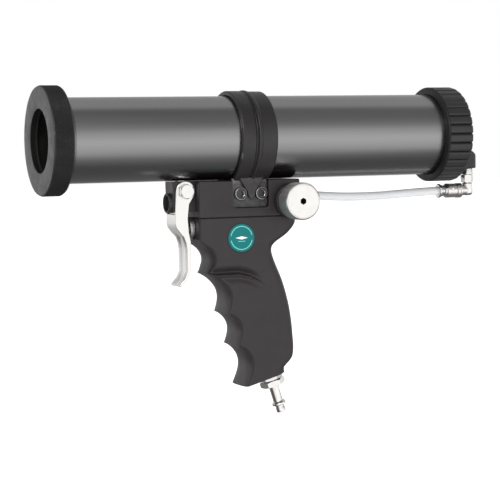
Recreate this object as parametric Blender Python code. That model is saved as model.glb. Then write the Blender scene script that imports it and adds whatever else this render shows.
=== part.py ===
"""Air-powered caulking gun: barrel with screw caps, pistol grip, trigger valve and side regulator.

Shapes are written in gun coordinates, in millimetres: X runs along the barrel from the front cap (-X)
to the rear cap (+X), Y runs across, with the regulator knob at -Y, and Z is up. The barrel's axis is
Y = Z = 0. spot() turns gun coordinates into the part's own frame, whose origin is the middle of its box.
"""

import math

import bmesh
import bpy
from mathutils import Matrix, Vector

MM = 0.001
GAP = 0.3            # between pieces that touch on the real object
SLIDE_GAP = 0.15     # round a piece that slides
TURN_GAP = 0.08      # round a pin that something turns on

# Barrel and caps
BARREL_R = 28.5
BORE_R = 26.5
BARREL_FRONT = -144.4
BARREL_REAR = 150.0
CAP_R = 36.5
CAP_FRONT = -150.0
CAP_REAR = -136.4
LIP_REAR = -133.2
LIP_R = 29.4
CAP_HOLE_R = 21.2
CAP_PLATE = 3.5
THREAD_R = 33.0
REAR_CAP_R = 33.7
REAR_CAP_FRONT = 137.5
REAR_CAP_REAR = 158.2
REAR_CAP_FLOOR = 152.2
RIBS = 32
RIB_DEPTH = 1.0
PISTON_REAR = 149.0
PISTON_LENGTH = 30.0

# Elbow at the rear cap and the hose
ELBOW_X = 171.0
BOSS_R = 6.5
BOSS_TOP = -4.0
BOSS_END_TOP = -15.5
BOSS_BOTTOM = -25.0
ARM_Z = -40.8
HOSE_R = 3.0

# Collar and head block
COLLAR_R = 32.0
COLLAR_FRONT = -18.5
COLLAR_REAR = 7.8
BLOCK_HALF = 15.5
BLOCK_FRONT = -44.2
BLOCK_REAR = 30.0
BLOCK_TOP = -28.8
BLOCK_BOTTOM = -53.8
RECESS_DEPTH = 4.0
RECESS_FRONT = -20.0
RECESS_REAR = 6.6
RECESS_BOTTOM = -47.8
CLAMP_SCREWS_X = (-13.9, 1.4)
CLAMP_SCREW_Z = -38.0
NOSE_HALF = 7.4
NOSE_FRONT = -60.1
NOSE_BOTTOM = -49.5
EXHAUST_Z = -43.4
EXHAUST_R = 6.75
EXHAUST_FRONT = -62.5
HANDLE_SCREWS = ((-30.0, -10.5), (-30.0, 10.5), (14.0, 9.5))

# Trigger and its valve
PIVOT_X = -51.5
PIVOT_Z = -35.6
EYE_R = 6.95
TRIGGER_HALF = 9.0
TRIGGER_SHEET = 1.2
PIVOT_R = 2.45
VALVE_Z = -61.3
VALVE_R = 6.4
PLUNGER_R = 5.0
AIR_PORT_X = -21.0       # drilled down from the head block to the valve, and back up behind its seat
EXHAUST_PORT_X = -39.5
PORT_R = 2.2

# Regulator, on an axis along Y
REG_X = 22.2
REG_Z = -43.7
KNOB_R = 12.75
KNOB_FACE = 38.0
KNOB_BACK = 24.0
SPINDLE_R = 3.9

# Grip
GRIP_TOP = -54.4
GRIP_HALF = 15.5
TOE_Z = -170.6
HEEL_Z = -161.6
FRONT_CUSPS = ((BLOCK_FRONT, -69.2), (-37.8, -92.0), (-24.9, -119.5), (-18.1, -142.0), (-12.2, TOE_Z))
GROOVES = ((6.0, 1.0), (7.4, 0.8), (5.2, 0.75), (6.7, 0.75))    # depth and skew of each finger groove
REAR_PROFILE = (
    (30.0, GRIP_TOP), (29.6, -59.5), (24.0, -66.0), (13.4, -73.5), (12.4, -80.0), (20.0, -99.6),
    (24.6, -117.0), (26.8, -135.0), (26.6, -151.0), (20.2, -158.3), (20.2, HEEL_Z),
)

# Inlet at the foot of the grip
INLET_X = 11.7
INLET_Z = -165.0
INLET_TILT = math.radians(17.5)
INLET_LENGTH = 27.4
NIPPLE_TIP_R = 3.3

LOWEST = INLET_Z - INLET_LENGTH * math.cos(INLET_TILT) - NIPPLE_TIP_R * math.sin(INLET_TILT)
ORIGIN = Vector((
    (CAP_FRONT + ELBOW_X + BOSS_R) / 2,
    (CAP_R - KNOB_FACE) / 2,
    (CAP_R + LOWEST) / 2,
))
BARREL_SIDES = 32    # flats on a barrel-sized circle, then on smaller and smaller ones
PART_SIDES = 20
SMALL_SIDES = 12
SCREW_SIDES = 10
BACK = Vector((1, 0, 0))
FORWARD = Vector((-1, 0, 0))
NEAR = Vector((0, -1, 0))
FAR = Vector((0, 1, 0))
DOWN = Vector((0, 0, -1))
INLET = Vector((math.sin(INLET_TILT), 0, -math.cos(INLET_TILT)))


# ---------------------------------------------------------------- helpers

def clear_scene():
    for old in list(bpy.data.objects):
        bpy.data.objects.remove(old)


def finish_colour(name, colour, roughness, metallic=0.0):
    made = bpy.data.materials.new(name)
    made.use_nodes = True
    shader = made.node_tree.nodes["Principled BSDF"]
    shader.inputs["Base Color"].default_value = (*colour, 1.0)
    shader.inputs["Roughness"].default_value = roughness
    shader.inputs["Metallic"].default_value = metallic
    return made


def spot(x, y, z):
    return (Vector((x, y, z)) - ORIGIN) * MM


def facing(toward):
    """A rotation that takes local +X to toward and keeps one cross axis on a frame axis."""
    side = Vector((0, 1, 0)) if abs(toward.y) < 0.5 else Vector((-toward.y, 0, 0))
    up = toward.cross(side)
    return Matrix((toward, side, up)).transposed()


def add_object(name, bm, finish, at, toward=BACK):
    bmesh.ops.recalc_face_normals(bm, faces=bm.faces)
    mesh = bpy.data.meshes.new(name)
    bm.to_mesh(mesh)
    bm.free()
    made = bpy.data.objects.new(name, mesh)
    bpy.context.scene.collection.objects.link(made)
    made.matrix_world = Matrix.Translation(at) @ facing(toward).to_4x4()
    if finish is not None:
        mesh.materials.append(finish)
    return made


def turned(name, profile, finish, at, toward=BACK, segments=PART_SIDES, smooth=True):
    """Spins (along, radius) points round local X; ends on the axis close the shape, others make a ring."""
    bm = bmesh.new()
    points = [bm.verts.new((a * MM, 0.0, r * MM)) for a, r in profile]
    edges = [bm.edges.new(pair) for pair in zip(points, points[1:])]
    if profile[0][1] > 0:
        edges.append(bm.edges.new((points[-1], points[0])))
    bmesh.ops.spin(bm, geom=points + edges, cent=(0, 0, 0), axis=(1, 0, 0), dvec=(0, 0, 0),
                   angle=math.tau, steps=segments)
    bmesh.ops.remove_doubles(bm, verts=bm.verts, dist=0.000002)
    made = add_object(name, bm, finish, at, toward)
    if smooth:
        made.data.shade_smooth()
        made.data.set_sharp_from_angle(angle=math.radians(30))
    return made


def slab(name, outline, y_low, y_high, finish, at=(0.0, 0.0)):
    """An outline of (x, z) gun coordinates, extruded across the gun from y_low to y_high."""
    bm = bmesh.new()
    ring = [bm.verts.new(((x - at[0]) * MM, y_low * MM, (z - at[1]) * MM)) for x, z in outline]
    face = bm.faces.new(ring)
    grown = bmesh.ops.extrude_face_region(bm, geom=[face])
    new_points = [g for g in grown["geom"] if isinstance(g, bmesh.types.BMVert)]
    bmesh.ops.translate(bm, verts=new_points, vec=(0, (y_high - y_low) * MM, 0))
    return add_object(name, bm, finish, spot(at[0], 0, at[1]))


def block(name, low, high, finish=None):
    outline = ((low[0], low[2]), (high[0], low[2]), (high[0], high[2]), (low[0], high[2]))
    return slab(name, outline, low[1], high[1], finish, at=(low[0], low[2]))


def rod(name, radius, length, at, toward, segments=SMALL_SIDES):
    profile = ((0, 0), (0, radius), (length, radius), (length, 0))
    return turned(name, profile, None, at, toward, segments, smooth=False)


def hex_nut(name, start, end, radius, hole_r, finish, at, toward):
    """A nut with chamfered corners; radius is across its corners."""
    chamfer = 0.4
    profile = ((start, 0), (start, radius - chamfer), (start + chamfer, radius), (end - chamfer, radius),
               (end, radius - chamfer), (end, 0))
    nut = turned(name, profile, finish, at, toward, 6, smooth=False)
    combine(nut, rod(name + "_hole", hole_r, end - start + 2.0, at + toward * (start - 1.0) * MM, toward, PART_SIDES))


def combine(target, tool, operation="DIFFERENCE"):
    change = target.modifiers.new(tool.name, "BOOLEAN")
    change.operation = operation
    change.solver = "EXACT"
    change.object = tool
    tool.hide_render = True
    tool.display_type = "WIRE"


def arc(centre, radius, start, end, steps):
    """Points on a circle in the X-Z plane, from start to end degrees."""
    angles = [math.radians(start + (end - start) * i / steps) for i in range(steps + 1)]
    return [(centre[0] + radius * math.cos(a), centre[1] + radius * math.sin(a)) for a in angles]


def smooth_value(points, z):
    """The x of a Catmull-Rom curve through (x, z) points that run downwards."""
    last = len(points) - 2
    i = min(last, max(0, sum(1 for p in points[1:-1] if z < p[1])))
    (x1, z1), (x2, z2) = points[i], points[i + 1]
    x0, z0 = points[max(0, i - 1)]
    x3, z3 = points[min(len(points) - 1, i + 2)]
    step = z2 - z1
    slope1 = (x2 - x0) / (z2 - z0) * step
    slope2 = (x3 - x1) / (z3 - z1) * step
    t = (z - z1) / step
    return ((2 * t**3 - 3 * t**2 + 1) * x1 + (t**3 - 2 * t**2 + t) * slope1
            + (3 * t**2 - 2 * t**3) * x2 + (t**3 - t**2) * slope2)


def coil(name, finish, at, toward, radius, wire, length, turns):
    """A compression spring along local X, with square ends cut by the coil's own last turn."""
    curve = bpy.data.curves.new(name, "CURVE")
    curve.dimensions = "3D"
    curve.bevel_depth = wire * MM
    curve.bevel_resolution = 0
    curve.resolution_u = 1
    curve.use_fill_caps = True
    steps = int(turns * 10)
    line = curve.splines.new("POLY")
    line.points.add(steps)
    for i, point in enumerate(line.points):
        turn = math.tau * i / 10
        along = wire + (length - 2 * wire) * i / steps
        point.co = (along * MM, radius * math.cos(turn) * MM, radius * math.sin(turn) * MM, 1.0)
    curve.materials.append(finish)
    made = bpy.data.objects.new(name, curve)
    bpy.context.scene.collection.objects.link(made)
    made.matrix_world = Matrix.Translation(at) @ facing(toward).to_4x4()
    return made


# ---------------------------------------------------------------- barrel and caps

def make_barrel(finishes):
    axis = spot(0, 0, 0)
    wall = ((BARREL_FRONT, BORE_R), (BARREL_FRONT, BARREL_R), (BARREL_REAR, BARREL_R), (BARREL_REAR, BORE_R))
    turned("barrel_tube", wall, finishes["anodised"], axis, segments=BARREL_SIDES)
    inner = BARREL_R + GAP
    ring = (
        (BARREL_FRONT, inner), (BARREL_FRONT, THREAD_R), (CAP_REAR - 0.5, THREAD_R), (CAP_REAR - 0.5, LIP_R),
        (LIP_REAR, LIP_R), (LIP_REAR, inner),
    )
    turned("front_thread_ring", ring, finishes["steel_dark"], axis, segments=BARREL_SIDES)


def make_front_cap(finishes):
    axis = spot(0, 0, 0)
    floor = CAP_FRONT + CAP_PLATE
    thread = THREAD_R + 0.4
    cap = (
        (CAP_FRONT, CAP_HOLE_R), (CAP_FRONT, CAP_R - 0.8), (CAP_FRONT + 0.8, CAP_R), (CAP_REAR - 0.8, CAP_R),
        (CAP_REAR, CAP_R - 0.8), (CAP_REAR, thread), (floor, thread), (floor, CAP_HOLE_R),
    )
    turned("front_cap", cap, finishes["black_metal"], axis, segments=BARREL_SIDES)
    seal = ((floor + GAP, 22.5), (floor + GAP, 32.6), (BARREL_FRONT - GAP, 32.6), (BARREL_FRONT - GAP, 22.5))
    turned("front_seal", seal, finishes["rubber"], axis, segments=BARREL_SIDES)


def rear_cap_shell(finish):
    """A cup whose rim is smooth and whose side has shallow round ribs."""
    count = RIBS * 2
    inner = BARREL_R + GAP

    def loop(bm, along, radius, ribs):
        points = []
        for i in range(count):
            turn = math.tau * i / count
            r = radius - ribs * RIB_DEPTH * (1 - math.cos(RIBS * turn)) / 2
            points.append(bm.verts.new((along * MM, r * math.sin(turn) * MM, r * math.cos(turn) * MM)))
        return points

    bm = bmesh.new()
    rows = (
        (REAR_CAP_FLOOR, inner, 0), (REAR_CAP_FRONT, inner, 0), (REAR_CAP_FRONT, REAR_CAP_R - 1.0, 0),
        (REAR_CAP_FRONT + 1.0, REAR_CAP_R, 0), (REAR_CAP_FRONT + 3.6, REAR_CAP_R, 0),
        (REAR_CAP_FRONT + 4.2, REAR_CAP_R, 1), (REAR_CAP_REAR - 1.0, REAR_CAP_R, 1),
        (REAR_CAP_REAR, REAR_CAP_R - 1.2, 1),
    )
    loops = [loop(bm, *row) for row in rows]
    for first, second in zip(loops, loops[1:]):
        for i in range(count):
            j = (i + 1) % count
            bm.faces.new((first[i], first[j], second[j], second[i]))
    bm.faces.new(loops[0])
    bm.faces.new(loops[-1])
    return add_object("rear_cap", bm, finish, spot(0, 0, 0))


def make_rear_cap(finishes):
    cap = rear_cap_shell(finishes["black_plastic"])
    height = BOSS_TOP - BOSS_BOTTOM
    boss = rod("boss_post", BOSS_R, height, spot(ELBOW_X, 0, BOSS_TOP), DOWN, PART_SIDES)
    web_low = (REAR_CAP_REAR - 2.0, -BOSS_R + 0.02, BOSS_BOTTOM)
    combine(boss, block("boss_web", web_low, (ELBOW_X, BOSS_R - 0.02, BOSS_TOP)), "UNION")
    boss_end = ELBOW_X + BOSS_R
    slope = ((REAR_CAP_REAR, BOSS_TOP), (boss_end, BOSS_END_TOP), (boss_end + 1.0, BOSS_TOP + 1.0),
             (REAR_CAP_REAR, BOSS_TOP + 1.0))
    combine(boss, slab("boss_slope", slope, -BOSS_R - 1.0, BOSS_R + 1.0, None))
    combine(cap, boss, "UNION")
    port_z = BOSS_BOTTOM + 10.0
    combine(cap, rod("boss_bore", 3.9, 13.0, spot(ELBOW_X, 0, BOSS_BOTTOM - 1.0), -DOWN))
    combine(cap, rod("boss_port", 2.5, 22.0, spot(ELBOW_X, 0, port_z), FORWARD))
    seal = ((0, 23.0), (0, 28.2), (REAR_CAP_FLOOR - BARREL_REAR - 2 * GAP, 28.2),
            (REAR_CAP_FLOOR - BARREL_REAR - 2 * GAP, 23.0))
    turned("rear_cap_gasket", seal, finishes["rubber"], spot(BARREL_REAR + GAP, 0, 0), BACK, BARREL_SIDES)


def make_piston(finishes):
    at = spot(PISTON_REAR, 0, 0)
    outer = BORE_R - 0.4
    skirt = outer - 3.6
    groove = outer - 2.0
    length = PISTON_LENGTH
    crown = 4.0
    seal_starts = (3.0, length - 8.0)
    seal_width = 4.0
    profile = [(length - crown, 0), (length - crown, skirt), (0, skirt), (0, outer)]
    for start in seal_starts:
        profile += [(start, outer), (start, groove), (start + seal_width, groove), (start + seal_width, outer)]
    profile += [(length - 1.5, outer), (length, outer - 1.5), (length, 0)]
    turned("piston", profile, finishes["aluminium"], at, FORWARD, BARREL_SIDES)
    for name, start in zip(("piston_seal_rear", "piston_seal_front"), seal_starts):
        low = start + GAP / 2
        high = start + seal_width - GAP / 2
        ring = ((low, groove + GAP), (low, BORE_R - SLIDE_GAP), (high, BORE_R - SLIDE_GAP), (high, groove + GAP))
        turned(name, ring, finishes["rubber"], at, FORWARD, BARREL_SIDES)


# ---------------------------------------------------------------- collar and head block

def make_collar(finishes):
    inner = BARREL_R + GAP
    groove = COLLAR_FRONT + 10.6
    band = (
        (COLLAR_FRONT, inner), (COLLAR_FRONT, COLLAR_R - 1.2), (COLLAR_FRONT + 1.2, COLLAR_R),
        (groove - 0.6, COLLAR_R), (groove, COLLAR_R - 1.4), (groove + 1.2, COLLAR_R - 1.4),
        (groove + 1.8, COLLAR_R + 0.4), (groove + 3.2, COLLAR_R + 0.4), (groove + 4.2, COLLAR_R - 0.4),
        (COLLAR_REAR - 1.2, COLLAR_R - 0.4), (COLLAR_REAR, COLLAR_R - 1.6), (COLLAR_REAR, inner),
    )
    collar = turned("barrel_collar", band, finishes["black_metal"], spot(0, 0, 0), segments=BARREL_SIDES)
    floor = BLOCK_HALF - RECESS_DEPTH + GAP
    plate = (
        (RECESS_FRONT + 0.4, -26.6), (RECESS_REAR - 0.4, -26.6), (RECESS_REAR - 0.4, RECESS_BOTTOM + 2.0),
        (RECESS_REAR - 2.0, RECESS_BOTTOM + 0.4), (RECESS_FRONT + 2.0, RECESS_BOTTOM + 0.4),
        (RECESS_FRONT + 0.4, RECESS_BOTTOM + 2.0),
    )
    middle = sum(CLAMP_SCREWS_X) / 2
    half = ((9.0, -26.8), (5.0, -33.6), (3.0, -36.2), (2.7, -38.2), (1.0, -41.5))
    rib = [(middle + w, z) for w, z in half] + [(middle - w, z) for w, z in reversed(half)]
    for side, y_sign in (("near", -1), ("far", 1)):
        plate_y = sorted((y_sign * floor, y_sign * (floor + 1.5)))
        rib_y = sorted((y_sign * (floor + 0.1), y_sign * (BLOCK_HALF + 1.0)))
        combine(collar, slab("lug_plate_" + side, plate, *plate_y, None), "UNION")
        combine(collar, slab("lug_rib_" + side, rib, *rib_y, None), "UNION")
        outward = Vector((0, y_sign, 0))
        for number, x in zip(("front", "rear"), CLAMP_SCREWS_X):
            hole_at = spot(x, y_sign * (floor - 2.0), CLAMP_SCREW_Z)
            combine(collar, rod("lug_hole_%s_%s" % (side, number), 2.8, 6.0, hole_at, outward, SCREW_SIDES))
            make_socket_screw("clamp_screw_%s_%s" % (side, number), finishes["zinc"],
                              spot(x, y_sign * (floor + 1.5 + GAP), CLAMP_SCREW_Z), outward,
                              head=(4.5, 2.4), shank=(2.4, 10.0), key=2.0)


def make_socket_screw(name, finish, at, outward, head, shank, key):
    """A socket-head screw whose head's underside is at the given spot and whose head points outward."""
    head_r, head_h = head
    shank_r, shank_l = shank
    profile = ((-shank_l, 0), (-shank_l, shank_r), (0, shank_r), (0, head_r), (head_h - 0.4, head_r),
               (head_h, head_r - 0.4), (head_h, 0))
    screw = turned(name, profile, finish, at, outward, SCREW_SIDES)
    depth = head_h * 0.6
    socket_at = at + outward * (head_h - depth) * MM
    combine(screw, rod(name + "_key", key, depth + 1.0, socket_at, outward, 6))


def make_head_block(finishes):
    low = (BLOCK_FRONT, -BLOCK_HALF, BLOCK_BOTTOM)
    head = block("head_block", low, (BLOCK_REAR, BLOCK_HALF, BLOCK_TOP), finishes["handle"])
    nose_low = (NOSE_FRONT, -NOSE_HALF, NOSE_BOTTOM)
    combine(head, block("nose", nose_low, (BLOCK_FRONT + 2.0, NOSE_HALF, BLOCK_TOP - 0.02)), "UNION")
    exhaust = rod("exhaust_boss", EXHAUST_R, 10.0, spot(EXHAUST_FRONT, 0, EXHAUST_Z), BACK, PART_SIDES)
    combine(head, exhaust, "UNION")

    groove = rod("collar_groove", COLLAR_R + 0.4 + GAP, COLLAR_REAR - COLLAR_FRONT + 2 * GAP,
                 spot(COLLAR_FRONT - GAP, 0, 0), BACK, BARREL_SIDES)
    combine(head, groove)
    floor = BLOCK_HALF - RECESS_DEPTH
    for side, y_sign in (("near", -1), ("far", 1)):
        outline = (
            (RECESS_FRONT, BLOCK_TOP + 1.0), (RECESS_REAR, BLOCK_TOP + 1.0), (RECESS_REAR, RECESS_BOTTOM + 1.6),
            (RECESS_REAR - 1.6, RECESS_BOTTOM), (RECESS_FRONT + 1.6, RECESS_BOTTOM),
            (RECESS_FRONT, RECESS_BOTTOM + 1.6),
        )
        y_range = sorted((y_sign * floor, y_sign * (BLOCK_HALF + 2.0)))
        combine(head, slab("recess_" + side, outline, *y_range, None))
        for number, x in zip(("front", "rear"), CLAMP_SCREWS_X):
            at = spot(x, y_sign * (floor + 1.0), CLAMP_SCREW_Z)
            combine(head, rod("screw_hole_%s_%s" % (side, number), 2.7, 11.0, at, Vector((0, -y_sign, 0)), SCREW_SIDES))

    combine(head, rod("exhaust_bore", 5.5, 15.0, spot(EXHAUST_FRONT - 1.0, 0, EXHAUST_Z), BACK))
    combine(head, rod("exhaust_port", PORT_R, 12.0, spot(EXHAUST_FRONT + 13.0, 0, EXHAUST_Z), BACK, SCREW_SIDES))
    combine(head, rod("exhaust_drop", PORT_R, 14.0, spot(EXHAUST_PORT_X, 0, EXHAUST_Z + 1.0), DOWN, SCREW_SIDES))
    combine(head, rod("pivot_hole", PIVOT_R + GAP, 20.0, spot(PIVOT_X, -10.0, PIVOT_Z), FAR))
    combine(head, rod("regulator_bore", 6.5, 14.0, spot(REG_X, -BLOCK_HALF - 3.0, REG_Z), FAR))
    combine(head, rod("regulator_port", 1.6, 6.0, spot(REG_X, -6.5, REG_Z), FAR, SCREW_SIDES))
    combine(head, rod("connector_bore", 4.1, 7.0, spot(BLOCK_REAR + 1.0, 0, ARM_Z), FORWARD))
    combine(head, rod("air_port", PORT_R, 48.0, spot(BLOCK_REAR - 5.0, 0, ARM_Z), FORWARD, SCREW_SIDES))
    combine(head, rod("air_drop", PORT_R, 16.0, spot(AIR_PORT_X, 0, ARM_Z), DOWN, SCREW_SIDES))
    for number, (x, y) in enumerate(HANDLE_SCREWS, 1):
        top = spot(x, y, BLOCK_TOP + 1.0)
        combine(head, rod("head_bore_%d" % number, 4.6, 6.4, top, DOWN))
        combine(head, rod("head_shank_%d" % number, 2.7, 30.0, top, DOWN, SCREW_SIDES))
        make_socket_screw("handle_screw_%d" % number, finishes["zinc"], spot(x, y, BLOCK_TOP - 5.1), -DOWN,
                          head=(4.2, 4.4), shank=(2.35, 30.0), key=2.3)

    plug = ((0, 0), (0, 5.2), (3.0, 5.2), (3.0, 0))
    turned("exhaust_silencer", plug, finishes["bronze"], spot(EXHAUST_FRONT + 10.5, 0, EXHAUST_Z), BACK, SMALL_SIDES)


def make_gasket(finishes):
    low = (BLOCK_FRONT + 0.8, -BLOCK_HALF + 0.8, GRIP_TOP + 0.1)
    high = (BLOCK_REAR - 2.5, BLOCK_HALF - 0.8, BLOCK_BOTTOM - 0.1)
    gasket = block("handle_gasket", low, high, finishes["rubber"])
    for number, (x, y) in enumerate(HANDLE_SCREWS, 1):
        combine(gasket, rod("gasket_screw_%d" % number, 2.7, 4.0, spot(x, y, BLOCK_BOTTOM + 1.5), DOWN, SCREW_SIDES))
    for name, x in (("gasket_air", AIR_PORT_X), ("gasket_exhaust", EXHAUST_PORT_X)):
        combine(gasket, rod(name, PORT_R, 4.0, spot(x, 0, BLOCK_BOTTOM + 1.5), DOWN, SCREW_SIDES))


# ---------------------------------------------------------------- grip

def grip_front(z):
    top_x, top_z = FRONT_CUSPS[0]
    if z >= top_z:
        return top_x
    for (x1, z1), (x2, z2), (depth, skew) in zip(FRONT_CUSPS, FRONT_CUSPS[1:], GROOVES):
        if z >= z2:
            t = (z - z1) / (z2 - z1)
            return x1 + (x2 - x1) * t + depth * math.sin(math.pi * t ** skew)
    return FRONT_CUSPS[-1][0]


def grip_levels():
    """Heights of the grip's sections at its front edge: on every cusp, with steps between."""
    levels = [GRIP_TOP, GRIP_TOP - 7.0]
    for (_, z1), (_, z2) in zip(FRONT_CUSPS, FRONT_CUSPS[1:]):
        levels += [z1 + (z2 - z1) * i / 5 for i in range(5)]
    return levels + [TOE_Z]


def grip_section(front_z):
    """Closed section points: a squared-off front that turns into a rounded finger side, and a round back."""
    share = (front_z - GRIP_TOP) / (TOE_Z - GRIP_TOP)
    rear_z = GRIP_TOP + share * (HEEL_Z - GRIP_TOP)
    front_x = grip_front(front_z)
    rear_x = smooth_value(REAR_PROFILE, rear_z)
    ease = min(1.0, max(0.0, (FRONT_CUSPS[0][1] - front_z) / 10.0))
    nose = 2.0 + 6.0 * ease
    square = 5.0 - 2.6 * ease
    half = GRIP_HALF - 0.7 * ease
    back = 9.0
    side = []
    for i in range(6):
        a = math.radians(18 * i)
        side.append((front_x + nose * (1 - math.cos(a) ** (2 / square)), half * math.sin(a) ** (2 / square)))
    for i in range(6):
        a = math.radians(18 * i)
        side.append((rear_x - back * (1 - math.sin(a) ** 0.85), half * max(0.0, math.cos(a)) ** 0.85))
    side[-1] = (rear_x, 0.0)
    ring = side + [(x, -y) for x, y in reversed(side[1:-1])]
    lean = (rear_z - front_z) / (rear_x - front_x)
    return [(x, y, front_z + lean * (x - front_x)) for x, y in ring]


def make_grip(finishes):
    bm = bmesh.new()
    rings = []
    for level in grip_levels():
        rings.append([bm.verts.new((x * MM, y * MM, z * MM)) for x, y, z in grip_section(level)])
    for upper, lower in zip(rings, rings[1:]):
        count = len(upper)
        for i in range(count):
            j = (i + 1) % count
            bm.faces.new((upper[i], upper[j], lower[j], lower[i]))
    bm.faces.new(rings[0])
    bm.faces.new(rings[-1])
    bmesh.ops.remove_doubles(bm, verts=bm.verts, dist=0.000002)
    grip = add_object("grip", bm, finishes["handle"], spot(0, 0, 0))
    grip.data.shade_smooth()
    grip.data.set_sharp_from_angle(angle=math.radians(35))

    combine(grip, rod("valve_bore", VALVE_R, 30.0, spot(BLOCK_FRONT - 2.0, 0, VALVE_Z), BACK, PART_SIDES))
    foot = Vector((INLET_X, 0, INLET_Z))
    combine(grip, rod("inlet_socket", 6.5, 16.0, spot(*(foot + INLET)), -INLET, PART_SIDES))
    combine(grip, rod("air_way", 3.5, 108.0, spot(*foot), -INLET))
    combine(grip, rod("air_rise", PORT_R, 8.0, spot(AIR_PORT_X, 0, VALVE_Z), -DOWN, SCREW_SIDES))
    combine(grip, rod("exhaust_rise", PORT_R, 8.0, spot(EXHAUST_PORT_X, 0, VALVE_Z), -DOWN, SCREW_SIDES))
    for number, (x, y) in enumerate(HANDLE_SCREWS, 1):
        combine(grip, rod("grip_screw_%d" % number, 2.7, 16.0, spot(x, y, GRIP_TOP + 1.0), DOWN, SCREW_SIDES))


def make_badge(finishes):
    disc = ((0, 0), (0, 9.5), (0.4, 9.5), (0.6, 9.2), (0.6, 0))
    turned("badge", disc, finishes["badge"], spot(-14.5, -GRIP_HALF - GAP, -67.9), NEAR, PART_SIDES)


# ---------------------------------------------------------------- trigger and valve

def make_trigger(finishes):
    pivot = (PIVOT_X, PIVOT_Z)
    outline = arc(pivot, EYE_R, -25, 178, 14)
    outline += [
        (-58.7, -40.0), (-59.3, -50.0), (-59.5, -57.0), (-58.6, -60.2), (-54.0, -66.2), (-52.5, -70.5), (-51.8, -75.0),
        (-51.8, -89.5), (-53.9, -94.3), (-57.4, -99.3), (-56.3, -100.1), (-51.6, -95.4), (-48.9, -89.6),
        (-48.9, -82.0), (-48.4, -76.0), (-48.3, -69.5), (-49.6, -63.0), (-50.2, -54.0), (-49.0, -44.2),
    ]
    trigger = slab("trigger", outline, -TRIGGER_HALF, TRIGGER_HALF, finishes["nickel"], at=pivot)
    hollow = (
        (-70.0, -20.0), (-70.0, -50.8), (-58.1, -50.8), (-58.1, -57.0), (-57.2, -59.6), (-52.7, -65.5),
        (-51.1, -70.6), (-50.4, -75.0), (-50.3, -89.8), (-51.9, -93.4), (-40.0, -93.4), (-40.0, -20.0),
    )
    inside = TRIGGER_HALF - TRIGGER_SHEET
    combine(trigger, slab("trigger_hollow", hollow, -inside, inside, None))
    hole_at = spot(PIVOT_X, -12.0, PIVOT_Z)
    combine(trigger, rod("trigger_hole", PIVOT_R + TURN_GAP, 24.0, hole_at, FAR, PART_SIDES))

    reach = TRIGGER_HALF + GAP
    bolt = ((-reach, 0), (-reach, PIVOT_R), (reach + 4.2, PIVOT_R), (reach + 4.6, 2.0), (reach + 4.6, 0))
    pin = turned("pivot_bolt", bolt, finishes["nickel"], spot(PIVOT_X, 0, PIVOT_Z), FAR, PART_SIDES)
    head = ((0, 0), (0, 5.2), (2.9, 5.2), (3.4, 4.6), (3.4, 0))
    head_at = spot(PIVOT_X, -reach + 0.001, PIVOT_Z)
    combine(pin, turned("pivot_head", head, None, head_at, NEAR, 6, smooth=False), "UNION")
    hex_nut("pivot_nut", reach, reach + 3.6, 4.5, PIVOT_R + 0.15, finishes["nickel"],
            spot(PIVOT_X, 0, PIVOT_Z), FAR)


def make_valve(finishes):
    at = spot(0, 0, VALVE_Z)
    seat = -32.0
    face = BLOCK_FRONT - 0.3
    bore = PLUNGER_R + SLIDE_GAP
    body = VALVE_R - GAP
    bushing = (
        (face - 0.9, bore), (face - 0.9, 6.3), (face - 3.2, 6.3), (face - 3.2, 7.0), (face - 2.8, 7.35),
        (face, 7.35), (face, body), (seat, body),
        (seat, 3.4), (seat - 2.0, 3.4), (seat - 2.0, bore),
    )
    turned("valve_bushing", bushing, finishes["nickel"], at, BACK, PART_SIDES)
    dome = ((-54.6, 0), (-54.2, 1.6), (-53.2, 3.0), (-51.8, 4.2), (-50.2, PLUNGER_R))
    plunger = dome + ((-39.0, PLUNGER_R), (-39.0, 2.0), (-28.0, 2.0), (-28.0, 0))
    turned("valve_plunger", plunger, finishes["zinc"], at, BACK, PART_SIDES)
    seal = ((seat + GAP, 2.0 + GAP), (seat + GAP, 4.6), (seat + 2.4, 4.6), (seat + 2.4, 2.0 + GAP))
    turned("valve_seal", seal, finishes["rubber"], at, BACK, SMALL_SIDES)
    coil("valve_spring", finishes["zinc"], spot(seat + 2.8, 0, VALVE_Z), BACK, 3.6, 0.45, 11.4, 5)


# ---------------------------------------------------------------- regulator

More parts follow.
